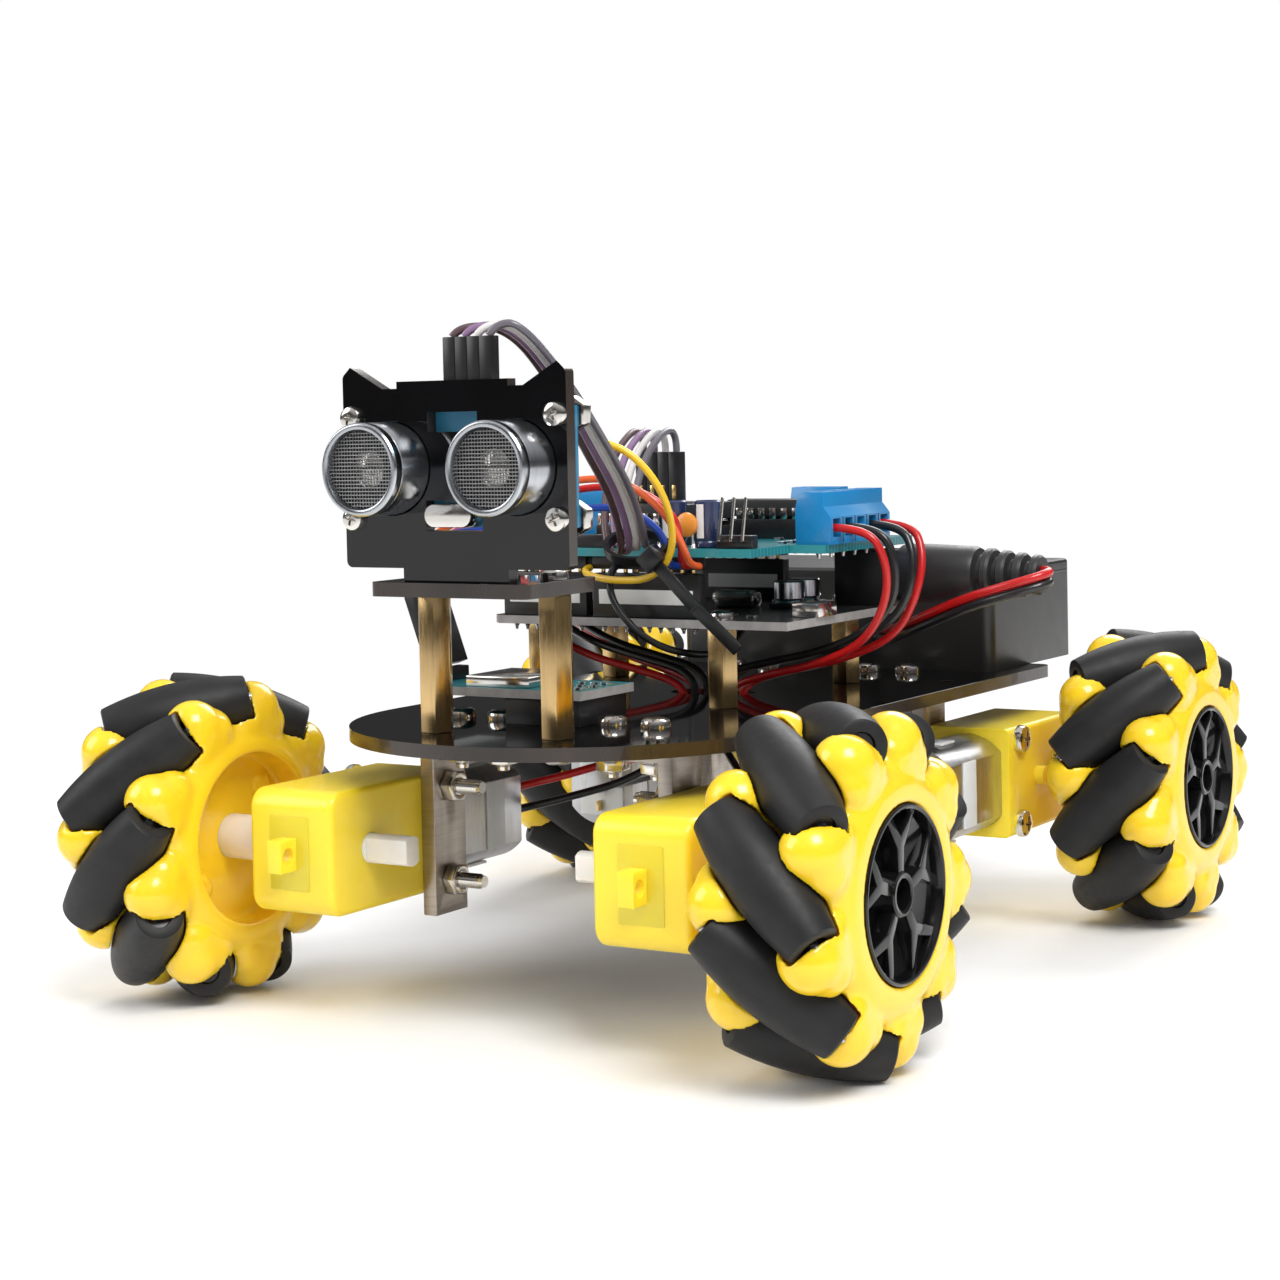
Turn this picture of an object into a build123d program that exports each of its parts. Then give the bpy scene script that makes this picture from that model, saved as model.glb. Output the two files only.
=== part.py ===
from build123d import *
import os
from math import cos, pi, radians, sin, sqrt, tan

# Four-wheel-drive robot on mecanum wheels. Millimetres, +Z up. The origin is on the
# ground, midway between the four wheels. The robot drives towards -Y, so its own left
# is +X. Rollers, hubs and shafts are separate for every wheel.

# ---- driving dimensions ----
TRACK = 133.0             # between the middle planes of the left and right wheels
WHEELBASE = 143.4         # between the front and rear axles
WHEEL_R = 30.0            # rolling radius over the rollers
HUB_HALF_WIDTH = 12.75
ROLLER_COUNT = 9
ROLLER_LENGTH = 27.0
ROLLER_OFFSET = 24.0      # wheel axis to roller axis
PIN_R = 1.0
PIN_LENGTH = 30.6
CAP_R = 14.45             # black cap in a hub's outer side
CAP_FLOOR_X = 8.75
CAP_FACE_X = 13.0
RECESS_FLOOR_X = -6.75    # floor of the recess in a hub's inner side
SHAFT_R = 2.7
COUPLER_R = 4.15

DECK_TOP = 51.5
DECK_THICKNESS = 2.5
DECK_HALF_WIDTH = 42.5
DECK_NOSE_Y = -43.0       # centre of the round nose
DECK_REAR_Y = 78.0

SPARE_HOLE_X = 36.0       # four free holes for accessories
SPARE_HOLE_Y = (-12.0, 38.0)
WIRE_HOLE = (1.0, 4.0)    # middle of the slot that the motor leads come up through

GEARBOX_INNER_X = 27.2
GEARBOX_WIDTH = 18.8
GEARBOX_HEIGHT = 22.4
GEARBOX_LENGTH = 37.0
SHAFT_TO_NOSE = 11.3      # output shaft to the gearbox's front end
SHAFT_TO_SCREWS = 20.4
SCREW_SPACING = 17.5      # the two screws through a gearbox
CAN_LENGTH = 25.0
CAN_R = 10.05
CAN_THICKNESS = 15.4

BRACKET_THICKNESS = 3.0
BRACKET_WIDTH = 10.0
BRACKET_BOTTOM = 15.0
BRACKET_SCREW_X = (21.1, 11.9)

M3_SHANK_R = 1.45
M3_HEAD_R = 2.8
M3_HEAD_HEIGHT = 1.9
M3_HOLE_R = 1.6
M3_NUT_AF = 5.5           # across flats, also of the hex standoffs
M3_NUT_HEIGHT = 2.4
STANDOFF_BORE_R = 1.3

BOARD_STANDOFF = 15.0
SENSOR_STANDOFF = 25.0
SENSOR_STANDOFF_X = 12.8
SENSOR_STANDOFF_Y = -70.2

MODULE_PLUG_Y = -48.0
MODULE_PLUG_LENGTH = 14.0
MODULE_PLUG_LEAN = 20.0   # degrees, towards -X

BOARD_RIGHT_X = 31.6      # socket end of the controller board
BOARD_REAR_Y = 31.9
BOARD_LENGTH = 68.6
BOARD_WIDTH = 53.4
PCB = 1.6                 # thickness of every circuit board
SOCKET_HEIGHT = 8.5
SHIELD_GAP = 3.3          # header sockets to the underside of the shield

TERMINAL_PITCH = 5.08
TERMINAL_DEPTH = 7.6
TERMINAL_HEIGHT = 10.0
TERMINAL_FRONT_Y = -3.9
LEFT_TERMINAL_X = 32.0    # wire mouths of the five-pole terminals
RIGHT_TERMINAL_X = -37.4
TERMINAL_MOUTH_Z = 3.15   # wire mouth above the shield
TOWER_X = -7.8            # upright wire housing on the shield
TOWER_TOP = 99.5
SHIELD_CHIPS = [(-6.0, -7.5), (-6.0, 5.5), (8.0, 18.5)]
SHIELD_CAPACITORS = [(12.4, -16.4), (5.2, -16.9)]

FACE_PLATE_Y = -81.4      # front face of the sensor's face plate
ACRYLIC = 2.5
TAB_HALF = 11.0           # half the width of its tab in the base plate
TRANSDUCER_X = 13.0
TRANSDUCER_Z = 98.57
TRANSDUCER_R = 8.0
TRANSDUCER_RIM_Y = -91.0

PLUG_BODY = 16.7
PLUG_RIBS = 4
PLUG_RIB_PITCH = 3.2

MOTOR_LEAD_D = 1.6
JUMPER_D = 1.4
POWER_LEAD_D = 1.8
# Where a motor's first and second lead cross the deck's side, for the front (-1) and rear.
LEAD_SPAN_Y = {(-1, True): 1.0, (-1, False): 4.4, (1, True): 14.2, (1, False): 10.6}

BATTERY_HALF_WIDTH = 37.5
BATTERY_FRONT_Y = 57.5
BATTERY_REAR_Y = 101.5
BATTERY_TOP = 73.0
CELL_R = 9.0
CELL_LENGTH = 65.0
BATTERY_SCREW_X = 20.0
BATTERY_SCREW_Y = 70.0

# ---- places that follow from them ----
DECK_BOTTOM = DECK_TOP - DECK_THICKNESS
BOARD_BOTTOM = DECK_TOP + BOARD_STANDOFF
BOARD_TOP = BOARD_BOTTOM + PCB
SHIELD_BOTTOM = BOARD_TOP + SOCKET_HEIGHT + SHIELD_GAP
SHIELD_TOP = SHIELD_BOTTOM + PCB
BOARD_FRONT_Y = BOARD_REAR_Y - BOARD_WIDTH
GEARBOX_OUTER_X = GEARBOX_INNER_X + GEARBOX_WIDTH
GEARBOX_MID_X = GEARBOX_INNER_X + GEARBOX_WIDTH / 2
BRACKET_INNER_X = GEARBOX_INNER_X - BRACKET_THICKNESS
BRACKET_Y = WHEELBASE / 2 - SHAFT_TO_SCREWS
SENSOR_PLATE_Z = DECK_TOP + SENSOR_STANDOFF
SENSOR_PCB_Y = FACE_PLATE_Y + ACRYLIC + 0.1
SONAR_PLUG_Y = SENSOR_PCB_Y + PCB + 1.3
SONAR_PLUG_TOP = 121.0
BOARD_HEADER_FRONT_Y = BOARD_REAR_Y - 52.07
JACK_FACE_X = BOARD_RIGHT_X + 1.8
JACK_Y = BOARD_REAR_Y - 7.8
PLUG_Z = BOARD_TOP + 6.3
PLUG_END_X = JACK_FACE_X + 0.3 + PLUG_BODY + PLUG_RIBS * PLUG_RIB_PITCH
CAN_END_Y = WHEELBASE / 2 + SHAFT_TO_NOSE - GEARBOX_LENGTH - CAN_LENGTH


def board_point(x, y):
    """A point of the controller board's own layout: x from its socket end, y from its rear."""
    return (BOARD_RIGHT_X - x, BOARD_REAR_Y - y)


BOARD_HOLES = [board_point(15.3, 50.7), board_point(14.0, 2.5)]
BOARD_HOLES += [board_point(66.1, 7.6), board_point(66.1, 35.5)]
BOARD_CAPACITORS = [board_point(17.0, 20.5), board_point(17.5, 12.8)]
PILLARS = [(-SENSOR_STANDOFF_X, SENSOR_STANDOFF_Y), (SENSOR_STANDOFF_X, SENSOR_STANDOFF_Y)]
SENSOR_SCREW_X = 21.25
SENSOR_SCREW_Z = (TRANSDUCER_Z - 8.75, TRANSDUCER_Z + 8.75)
SENSOR_SCREWS = [(x, z) for x in (-SENSOR_SCREW_X, SENSOR_SCREW_X) for z in SENSOR_SCREW_Z]

# Wheels: name, side (+1 is +X), end (-1 is the front), turn of the rollers about the
# outward axis, and the angle of the first roller.
WHEELS = [
    ("front_left", 1, -1, 1, 7.1),
    ("front_right", -1, -1, -1, 34.0),
    ("rear_left", 1, 1, -1, 25.5),
    ("rear_right", -1, 1, 1, 18.0),
]


def block(x0, x1, y0, y1, z0, z1):
    """A box between two corners."""
    return Pos((x0 + x1) / 2, (y0 + y1) / 2, (z0 + z1) / 2) * Box(x1 - x0, y1 - y0, z1 - z0)


def rod(start, end, radius):
    """A round bar between two points."""
    plane = Plane(origin=start, z_dir=Vector(*end) - Vector(*start))
    length = (Vector(*end) - Vector(*start)).length
    return plane * extrude(Circle(radius), length)


def hex_prism(start, end, across_flats):
    """A six-sided bar between two points."""
    plane = Plane(origin=start, z_dir=Vector(*end) - Vector(*start))
    length = (Vector(*end) - Vector(*start)).length
    return plane * extrude(RegularPolygon(across_flats / 2, 6, major_radius=False), length)


def all_solids(*shapes):
    """Every solid of the shapes, kept separate in one compound."""
    solids = []
    for shape in shapes:
        solids += shape.solids()
    return Compound(children=solids)


# ---- mecanum wheels, in a local frame: the axle is X, and +X points outwards ----
def rim_angle(s):
    """Angle round the wheel of the rim point that a roller touches s from its middle."""
    low, high = 0.0, radians(60)
    for _ in range(50):
        mid = (low + high) / 2
        if (ROLLER_OFFSET * tan(mid) + WHEEL_R * sin(mid)) / sqrt(2) < abs(s):
            low = mid
        else:
            high = mid
    return low


def barrel_radius(s):
    """Roller radius s from its middle, so that all rollers together touch one cylinder."""
    angle = rim_angle(s)
    along = ROLLER_OFFSET * tan(angle)
    square = along**2 + (WHEEL_R * cos(angle) - ROLLER_OFFSET) ** 2
    return sqrt(square + (WHEEL_R * sin(angle)) ** 2 - s**2)


def barrel(length, grow, bore_r=0.0):
    """A roller's barrel along Z, made larger all over by grow."""
    half = length / 2
    steps = 6
    rim = []
    for i in range(steps + 1):
        s = ROLLER_LENGTH * (i / steps - 0.5)
        rim.append((barrel_radius(s) + grow, s * length / ROLLER_LENGTH))
    edges = [Spline(*rim), Line(rim[-1], (bore_r, half)), Line((bore_r, half), (bore_r, -half))]
    edges.append(Line((bore_r, -half), rim[0]))
    return revolve(Plane.XZ * make_face(edges), Axis.Z)


def roller_plane(index, hand, phase):
    """Where a roller sits in its wheel: the plane's normal is the roller's axis."""
    angle = radians(phase + index * 360 / ROLLER_COUNT)
    centre = (0, ROLLER_OFFSET * cos(angle), ROLLER_OFFSET * sin(angle))
    along = (1, -hand * sin(angle), hand * cos(angle))
    return Plane(origin=centre, z_dir=along)


def roller():
    """One rubber roller, bored to run on its pin."""
    return barrel(ROLLER_LENGTH, 0.0, PIN_R + 0.05)


def lobed_plate(side, hand, phase):
    """The outer (side 1) or inner (side -1) plate of a hub: nine rounded lobes, crowned."""
    lobe_r = 5.2
    lobe_lead = 29.0
    outline = Circle(22.2)
    for i in range(ROLLER_COUNT):
        angle = phase + side * hand * lobe_lead + i * 360 / ROLLER_COUNT
        spot = Location((23.6 * cos(radians(angle)), 23.6 * sin(radians(angle)), 0))
        outline += spot * Circle(lobe_r)
    face = Plane(origin=(0, 0, 0), x_dir=(0, 1, 0), z_dir=(1, 0, 0)) * outline
    plate = extrude(face, side * HUB_HALF_WIDTH)
    crown = [
        Line((3.6, 0), (3.6, 30)),
        Line((3.6, 30), (9.4, 30)),
        ThreePointArc((9.4, 30), (12.1, 24.5), (HUB_HALF_WIDTH, 17.5)),
        Line((HUB_HALF_WIDTH, 17.5), (HUB_HALF_WIDTH, 0)),
        Line((HUB_HALF_WIDTH, 0), (3.6, 0)),
    ]
    turned = revolve(make_face(crown), Axis.X)
    if side < 0:
        turned = mirror(turned, Plane.YZ)
    return plate & turned


def hub(hand, phase):
    """The hub moulding: two lobed plates on a round core, cut back round every roller."""
    core = rod((-HUB_HALF_WIDTH, 0, 0), (HUB_HALF_WIDTH, 0, 0), 17.2)
    body = core + lobed_plate(1, hand, phase) + lobed_plate(-1, hand, phase)
    body -= rod((CAP_FLOOR_X, 0, 0), (HUB_HALF_WIDTH + 1, 0, 0), CAP_R + 0.1)
    body -= rod((-HUB_HALF_WIDTH - 1, 0, 0), (RECESS_FLOOR_X, 0, 0), 15.5)
    body -= rod((-HUB_HALF_WIDTH, 0, 0), (HUB_HALF_WIDTH, 0, 0), SHAFT_R + 0.02)
    for i in range(4):
        angle = radians(45 + 90 * i)
        y, z = 12.2 * cos(angle), 12.2 * sin(angle)
        body -= rod((-HUB_HALF_WIDTH, y, z), (HUB_HALF_WIDTH, y, z), 2.1)
    clearance = barrel(ROLLER_LENGTH + 0.9, 0.45)
    pin_hole = Pos(0, 0, -PIN_LENGTH / 2) * extrude(Circle(PIN_R + 0.02), PIN_LENGTH)
    for i in range(ROLLER_COUNT):
        place = roller_plane(i, hand, phase)
        body -= place * clearance
        body -= place * pin_hole
    return body


def hub_cap():
    """The black cap pressed into the outer side: dish, rim, centre ring and six spokes."""
    dish = rod((CAP_FLOOR_X, 0, 0), (CAP_FLOOR_X + 1.3, 0, 0), CAP_R)
    rim = rod((CAP_FLOOR_X, 0, 0), (CAP_FACE_X, 0, 0), CAP_R)
    rim -= rod((CAP_FLOOR_X, 0, 0), (CAP_FACE_X, 0, 0), CAP_R - 1.5)
    ring = rod((CAP_FLOOR_X, 0, 0), (CAP_FACE_X - 0.7, 0, 0), 3.6)
    ring -= rod((CAP_FLOOR_X + 1.3, 0, 0), (CAP_FACE_X, 0, 0), 2.5)
    cap = dish + rim + ring
    for i in range(6):
        spoke = block(CAP_FLOOR_X, CAP_FACE_X - 0.7, 3.3, CAP_R - 1.2, -0.6, 0.6)
        cap += Rot(60 * i + 30, 0, 0) * spoke
    return cap


def roller_pins(hand, phase):
    """The nine steel pins that the rollers turn on."""
    pin = Pos(0, 0, -PIN_LENGTH / 2) * extrude(Circle(PIN_R), PIN_LENGTH)
    return [roller_plane(i, hand, phase) * pin for i in range(ROLLER_COUNT)]


def drive_shaft():
    """Output shaft with its flatted free end, and the white coupler that the hub sits on."""
    wheel_x = TRACK / 2
    free_end = GEARBOX_INNER_X - 9.3 - wheel_x
    shaft = rod((free_end, 0, 0), (-3.0, 0, 0), SHAFT_R)
    flats_end = GEARBOX_INNER_X - 0.5 - wheel_x
    for side in (-1, 1):
        inner, outer = sorted((side * 1.85, side * 4))
        shaft -= block(free_end, flats_end, inner, outer, -4, 4)
    coupler = rod((GEARBOX_OUTER_X + 0.4 - wheel_x, 0, 0), (RECESS_FLOOR_X, 0, 0), COUPLER_R)
    return shaft + coupler


def place_wheel(shape, side, end):
    """Move a shape from the wheel's frame to its corner of the robot."""
    turn = Rot(0, 0, 0 if side > 0 else 180)
    return Pos(side * TRACK / 2, end * WHEELBASE / 2, WHEEL_R) * turn * shape


# ---- gear motors, for the corner at +X, +Y, turned or mirrored to the others ----
def at_corners(shape):
    """A shape of the rear left corner, at all four corners."""
    rear = [shape, mirror(shape, Plane.YZ)]
    return rear + [mirror(s, Plane.XZ) for s in rear]


def gearbox_housing():
    """Yellow housing with a holed tab on its end and a locating nub on its outer face."""
    axle_y = WHEELBASE / 2
    nose_y = axle_y + SHAFT_TO_NOSE
    x0, x1 = GEARBOX_INNER_X, GEARBOX_OUTER_X
    z0, z1 = WHEEL_R - GEARBOX_HEIGHT / 2, WHEEL_R + GEARBOX_HEIGHT / 2
    body = block(x0, x1, nose_y - GEARBOX_LENGTH, nose_y, z0, z1)
    nose_edges = body.edges().group_by(Axis.Y)[-1]
    body = fillet(nose_edges.filter_by(Axis.X), 3.5)
    body = fillet(body.edges().filter_by(Axis.Y), 1.2)
    tab = block(GEARBOX_MID_X - 1.5, GEARBOX_MID_X + 1.5, nose_y - 1, nose_y + 4.5, 27.1, 32.9)
    body += tab
    body += rod((x1 - 1, axle_y - 11, WHEEL_R), (x1 + 2.0, axle_y - 11, WHEEL_R), 2.0)
    body -= rod((x0 - 1, nose_y + 2.4, WHEEL_R), (x1 + 1, nose_y + 2.4, WHEEL_R), 1.5)
    body -= rod((x0 - 1, axle_y, WHEEL_R), (x1 + 1, axle_y, WHEEL_R), SHAFT_R + 0.06)
    for z in (WHEEL_R - SCREW_SPACING / 2, WHEEL_R + SCREW_SPACING / 2):
        body -= rod((x0 - 1, BRACKET_Y, z), (x1 + 1, BRACKET_Y, z), M3_HOLE_R)
    return body


def motor_can():
    """Flat-sided motor can with its end boss, behind the gearbox."""
    y1 = WHEELBASE / 2 + SHAFT_TO_NOSE - GEARBOX_LENGTH
    y0 = y1 - CAN_LENGTH
    can = rod((GEARBOX_MID_X, y0, WHEEL_R), (GEARBOX_MID_X, y1, WHEEL_R), CAN_R)
    half = CAN_THICKNESS / 2
    can &= block(GEARBOX_MID_X - half, GEARBOX_MID_X + half, y0, y1, 15, 45)
    return can + rod((GEARBOX_MID_X, y0 - 1.6, WHEEL_R), (GEARBOX_MID_X, y0, WHEEL_R), 3.2)


def motor_bracket():
    """L bracket: a leg against the gearbox and a flange under the deck."""
    y0, y1 = BRACKET_Y - BRACKET_WIDTH / 2, BRACKET_Y + BRACKET_WIDTH / 2
    leg = block(BRACKET_INNER_X, GEARBOX_INNER_X, y0, y1, BRACKET_BOTTOM, DECK_BOTTOM)
    flange_z = DECK_BOTTOM - BRACKET_THICKNESS
    body = leg + block(7.0, GEARBOX_INNER_X, y0, y1, flange_z, DECK_BOTTOM)
    for z in (WHEEL_R - SCREW_SPACING / 2, WHEEL_R + SCREW_SPACING / 2):
        body -= rod((BRACKET_INNER_X - 1, BRACKET_Y, z), (GEARBOX_INNER_X + 1, BRACKET_Y, z), M3_HOLE_R)
    for x in BRACKET_SCREW_X:
        body -= rod((x, BRACKET_Y, flange_z - 1), (x, BRACKET_Y, DECK_BOTTOM + 1), M3_HOLE_R)
    return body


# ---- deck, standoffs and fasteners ----
def bracket_screws():
    """Where the bracket screws pass through the deck."""
    return [(sx * x, sy * BRACKET_Y) for x in BRACKET_SCREW_X for sx in (-1, 1) for sy in (-1, 1)]


def chassis_plate():
    """Acrylic deck: round nose, straight sides, square rear, drilled for what it carries."""
    w = DECK_HALF_WIDTH
    nose = ThreePointArc((-w, DECK_NOSE_Y), (0, DECK_NOSE_Y - w), (w, DECK_NOSE_Y))
    sides = Polyline((w, DECK_NOSE_Y), (w, DECK_REAR_Y), (-w, DECK_REAR_Y), (-w, DECK_NOSE_Y))
    face = make_face([*nose.edges(), *sides.edges()])
    face = fillet(face.vertices().group_by(Axis.Y)[-1], 3.0)
    plate = Pos(0, 0, DECK_BOTTOM) * extrude(face, DECK_THICKNESS)
    holes = bracket_screws() + BOARD_HOLES + PILLARS
    holes += [(-BATTERY_SCREW_X, BATTERY_SCREW_Y), (BATTERY_SCREW_X, BATTERY_SCREW_Y)]
    holes += [(x, y) for x in (-SPARE_HOLE_X, SPARE_HOLE_X) for y in SPARE_HOLE_Y]
    for x, y in holes:
        plate -= rod((x, y, DECK_BOTTOM - 1), (x, y, DECK_TOP + 1), M3_HOLE_R)
    plate -= Pos(*WIRE_HOLE, DECK_BOTTOM - 1) * extrude(SlotOverall(18, 10), DECK_THICKNESS + 2)
    return plate


def standoff(x, y, length):
    """One brass hex standoff on the deck, tapped right through."""
    body = hex_prism((x, y, DECK_TOP), (x, y, DECK_TOP + length), M3_NUT_AF)
    return body - rod((x, y, DECK_TOP - 1), (x, y, DECK_TOP + length + 1), STANDOFF_BORE_R)


def brass_standoffs():
    """Four short standoffs for the boards and two long ones for the sensor."""
    short = [standoff(x, y, BOARD_STANDOFF) for x, y in BOARD_HOLES]
    return short + [standoff(x, y, SENSOR_STANDOFF) for x, y in PILLARS]


def screw(seat, direction, length, shank_r=M3_SHANK_R, head_r=M3_HEAD_R):
    """A pan-head screw: its head's underside is at seat and its shank goes along direction."""
    seat, way = Vector(*seat), Vector(*direction)
    head_top = seat - way * M3_HEAD_HEIGHT
    head = rod(tuple(head_top), tuple(seat), head_r)
    head = fillet(head.faces().sort_by(Axis(tuple(seat), tuple(way)))[0].edges(), 0.9)
    return head + rod(tuple(seat), tuple(seat + way * length), shank_r)


def nut(seat, direction):
    """A plain hex nut on the face at seat, standing away along direction."""
    seat, way = Vector(*seat), Vector(*direction)
    end = seat + way * M3_NUT_HEIGHT
    body = hex_prism(tuple(seat), tuple(end), M3_NUT_AF)
    return body - rod(tuple(seat - way), tuple(end + way), M3_SHANK_R + 0.03)


def gearbox_screws():
    """The two long screws through a gearbox and its bracket, with their nuts."""
    parts = []
    for z in (WHEEL_R - SCREW_SPACING / 2, WHEEL_R + SCREW_SPACING / 2):
        parts.append(screw((GEARBOX_OUTER_X, BRACKET_Y, z), (-1, 0, 0), 29.3))
        parts.append(nut((BRACKET_INNER_X, BRACKET_Y, z), (-1, 0, 0)))
    return parts


def steel_fasteners():
    """All machine screws and nuts of the robot."""
    parts = []
    for piece in gearbox_screws():
        parts += at_corners(piece)
    for x, y in bracket_screws():
        parts.append(screw((x, y, DECK_TOP), (0, 0, -1), 9.2))
        parts.append(nut((x, y, DECK_BOTTOM - BRACKET_THICKNESS), (0, 0, -1)))
    thread_r = STANDOFF_BORE_R - 0.04
    for x, y in BOARD_HOLES:
        parts.append(screw((x, y, DECK_BOTTOM), (0, 0, 1), 7.0, thread_r))
        parts.append(screw((x, y, BOARD_TOP), (0, 0, -1), 6.0, thread_r, 2.5))
    for x, y in PILLARS:
        parts.append(screw((x, y, DECK_BOTTOM), (0, 0, 1), 7.0, thread_r))
        parts.append(screw((x, y, SENSOR_PLATE_Z + ACRYLIC), (0, 0, -1), 7.0, thread_r, 2.5))
    for x, z in SENSOR_SCREWS:
        parts.append(screw((x, FACE_PLATE_Y, z), (0, 1, 0), 7.4, thread_r, 2.1))
        parts.append(nut((x, SENSOR_PCB_Y + PCB, z), (0, 1, 0)))
    for x in (-BATTERY_SCREW_X, BATTERY_SCREW_X):
        parts.append(screw((x, BATTERY_SCREW_Y, DECK_BOTTOM), (0, 0, 1), 3.9, thread_r))
    return parts


# ---- circuit boards ----
def header_socket(x0, x1, y):
    """One black header socket on the controller board."""
    return block(x0, x1, y - 1.27, y + 1.27, BOARD_TOP, BOARD_TOP + SOCKET_HEIGHT)


def header_rows():
    """Start, end and middle line of the four header rows, in robot X and Y."""
    rows = []
    for x0, x1, y in ((19.2, 43.2, 50.8), (44.6, 64.0, 50.8), (27.2, 46.6, 2.6), (49.6, 64.0, 2.6)):
        right, middle = board_point(x0, y)
        left = board_point(x1, y)[0]
        rows.append((left, right, middle))
    return rows


def controller_board():
    """Controller board with header sockets, power jack, USB socket and main chip."""
    x1, y1 = BOARD_RIGHT_X, BOARD_REAR_Y
    x0, y0 = x1 - BOARD_LENGTH, BOARD_FRONT_Y
    step_x = x0 + 2.6
    outline = [(x1, y0), (x1, y1), (step_x, y1), (step_x, y1 - 2.5), (x0, y1 - 5), (x0, y0 + 15.5)]
    outline += [(step_x, y0 + 13), (step_x, y0 + 1.5), (step_x + 1.5, y0)]
    pcb = Pos(0, 0, BOARD_BOTTOM) * extrude(make_face(Polyline(*outline, close=True)), PCB)
    for x, y in BOARD_HOLES:
        pcb -= rod((x, y, BOARD_BOTTOM - 1), (x, y, BOARD_TOP + 1), M3_HOLE_R)
    parts = [pcb] + [header_socket(*row) for row in header_rows()]
    jack_x = JACK_FACE_X
    jack = block(jack_x - 12.9, jack_x, JACK_Y - 4.5, JACK_Y + 4.5, BOARD_TOP, BOARD_TOP + 11)
    jack -= rod((jack_x - 9.5, JACK_Y, PLUG_Z), (jack_x + 1, JACK_Y, PLUG_Z), 3.1)
    parts.append(jack)
    usb_y = BOARD_FRONT_Y + 15.0
    parts.append(block(x1 - 5.0, x1 + 0.8, usb_y - 3.8, usb_y + 3.8, BOARD_TOP, BOARD_TOP + 2.7))
    chip_x, chip_y = board_point(42.0, 24.0)
    chip = block(chip_x - 4.5, chip_x + 4.5, chip_y - 4.5, chip_y + 4.5, BOARD_TOP, BOARD_TOP + 1.2)
    parts.append(chip)
    for x, y in BOARD_CAPACITORS:
        parts.append(rod((x, y, BOARD_TOP), (x, y, BOARD_TOP + 5.4), 3.15))
    return parts


def motor_shield():
    """Driver board: notched outline, plug-in headers under it, chips and capacitors on it."""
    x1, y1 = BOARD_RIGHT_X - 0.2, BOARD_REAR_Y + 1.0
    x0, y0 = BOARD_RIGHT_X - BOARD_LENGTH, BOARD_FRONT_Y + 0.4
    notch_x, notch_y = 24.0, TERMINAL_FRONT_Y - 1.5
    outline = [(notch_x, y0), (notch_x, notch_y), (x1, notch_y), (x1, y1), (x0, y1), (x0, y0)]
    pcb = Pos(0, 0, SHIELD_BOTTOM) * extrude(make_face(Polyline(*outline, close=True)), PCB)
    parts = [pcb]
    socket_top = BOARD_TOP + SOCKET_HEIGHT
    for left, right, y in header_rows():
        parts.append(block(left, right, y - 1.27, y + 1.27, socket_top, SHIELD_BOTTOM))
    for x, y in SHIELD_CHIPS:
        socket = block(x - 10, x + 10, y - 3.9, y + 3.9, SHIELD_TOP, SHIELD_TOP + 4.0)
        parts.append(socket + block(x - 9.7, x + 9.7, y - 3.2, y + 3.2, SHIELD_TOP, SHIELD_TOP + 8.0))
    tower = block(TOWER_X - 5.1, TOWER_X + 5.1, -1.3, 1.3, SHIELD_TOP + 2.5, TOWER_TOP)
    parts.append(tower + block(TOWER_X - 5.1, TOWER_X + 5.1, -1.2, 1.2, SHIELD_TOP, SHIELD_TOP + 2.5))
    for x, y in SHIELD_CAPACITORS:
        parts.append(rod((x, y, SHIELD_TOP), (x, y, SHIELD_TOP + 9.0), 2.5))
    return parts


def terminal_block(poles):
    """A screw terminal along X with its wire mouths facing -Y, on Z 0."""
    width = poles * TERMINAL_PITCH
    side = [(0, 0), (0, 5.2), (1.6, 7.2), (1.6, TERMINAL_HEIGHT)]
    side += [(TERMINAL_DEPTH - 0.8, TERMINAL_HEIGHT), (TERMINAL_DEPTH, 7.0), (TERMINAL_DEPTH, 0)]
    profile = Plane.YZ * make_face(Polyline(*side, close=True))
    body = Pos(-width / 2, 0, 0) * extrude(profile, width)
    for i in range(poles):
        x = (i + 0.5) * TERMINAL_PITCH - width / 2
        body -= block(x - 1.6, x + 1.6, -1, 4.5, 1.4, 4.9)
        body -= rod((x, 4.4, 6.4), (x, 4.4, TERMINAL_HEIGHT + 1), 1.75)
    return body


def screw_terminals():
    """The two five-pole motor terminals and the two-pole power terminal."""
    middle_y = TERMINAL_FRONT_Y + 2.5 * TERMINAL_PITCH
    left = Pos(LEFT_TERMINAL_X, middle_y, SHIELD_TOP) * Rot(0, 0, 90) * terminal_block(5)
    right = Pos(RIGHT_TERMINAL_X, middle_y, SHIELD_TOP) * Rot(0, 0, -90) * terminal_block(5)
    power = Pos(13.0, BOARD_REAR_Y + 0.6, SHIELD_TOP) * Rot(0, 0, 180) * terminal_block(2)
    return [left, right, power]


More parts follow.
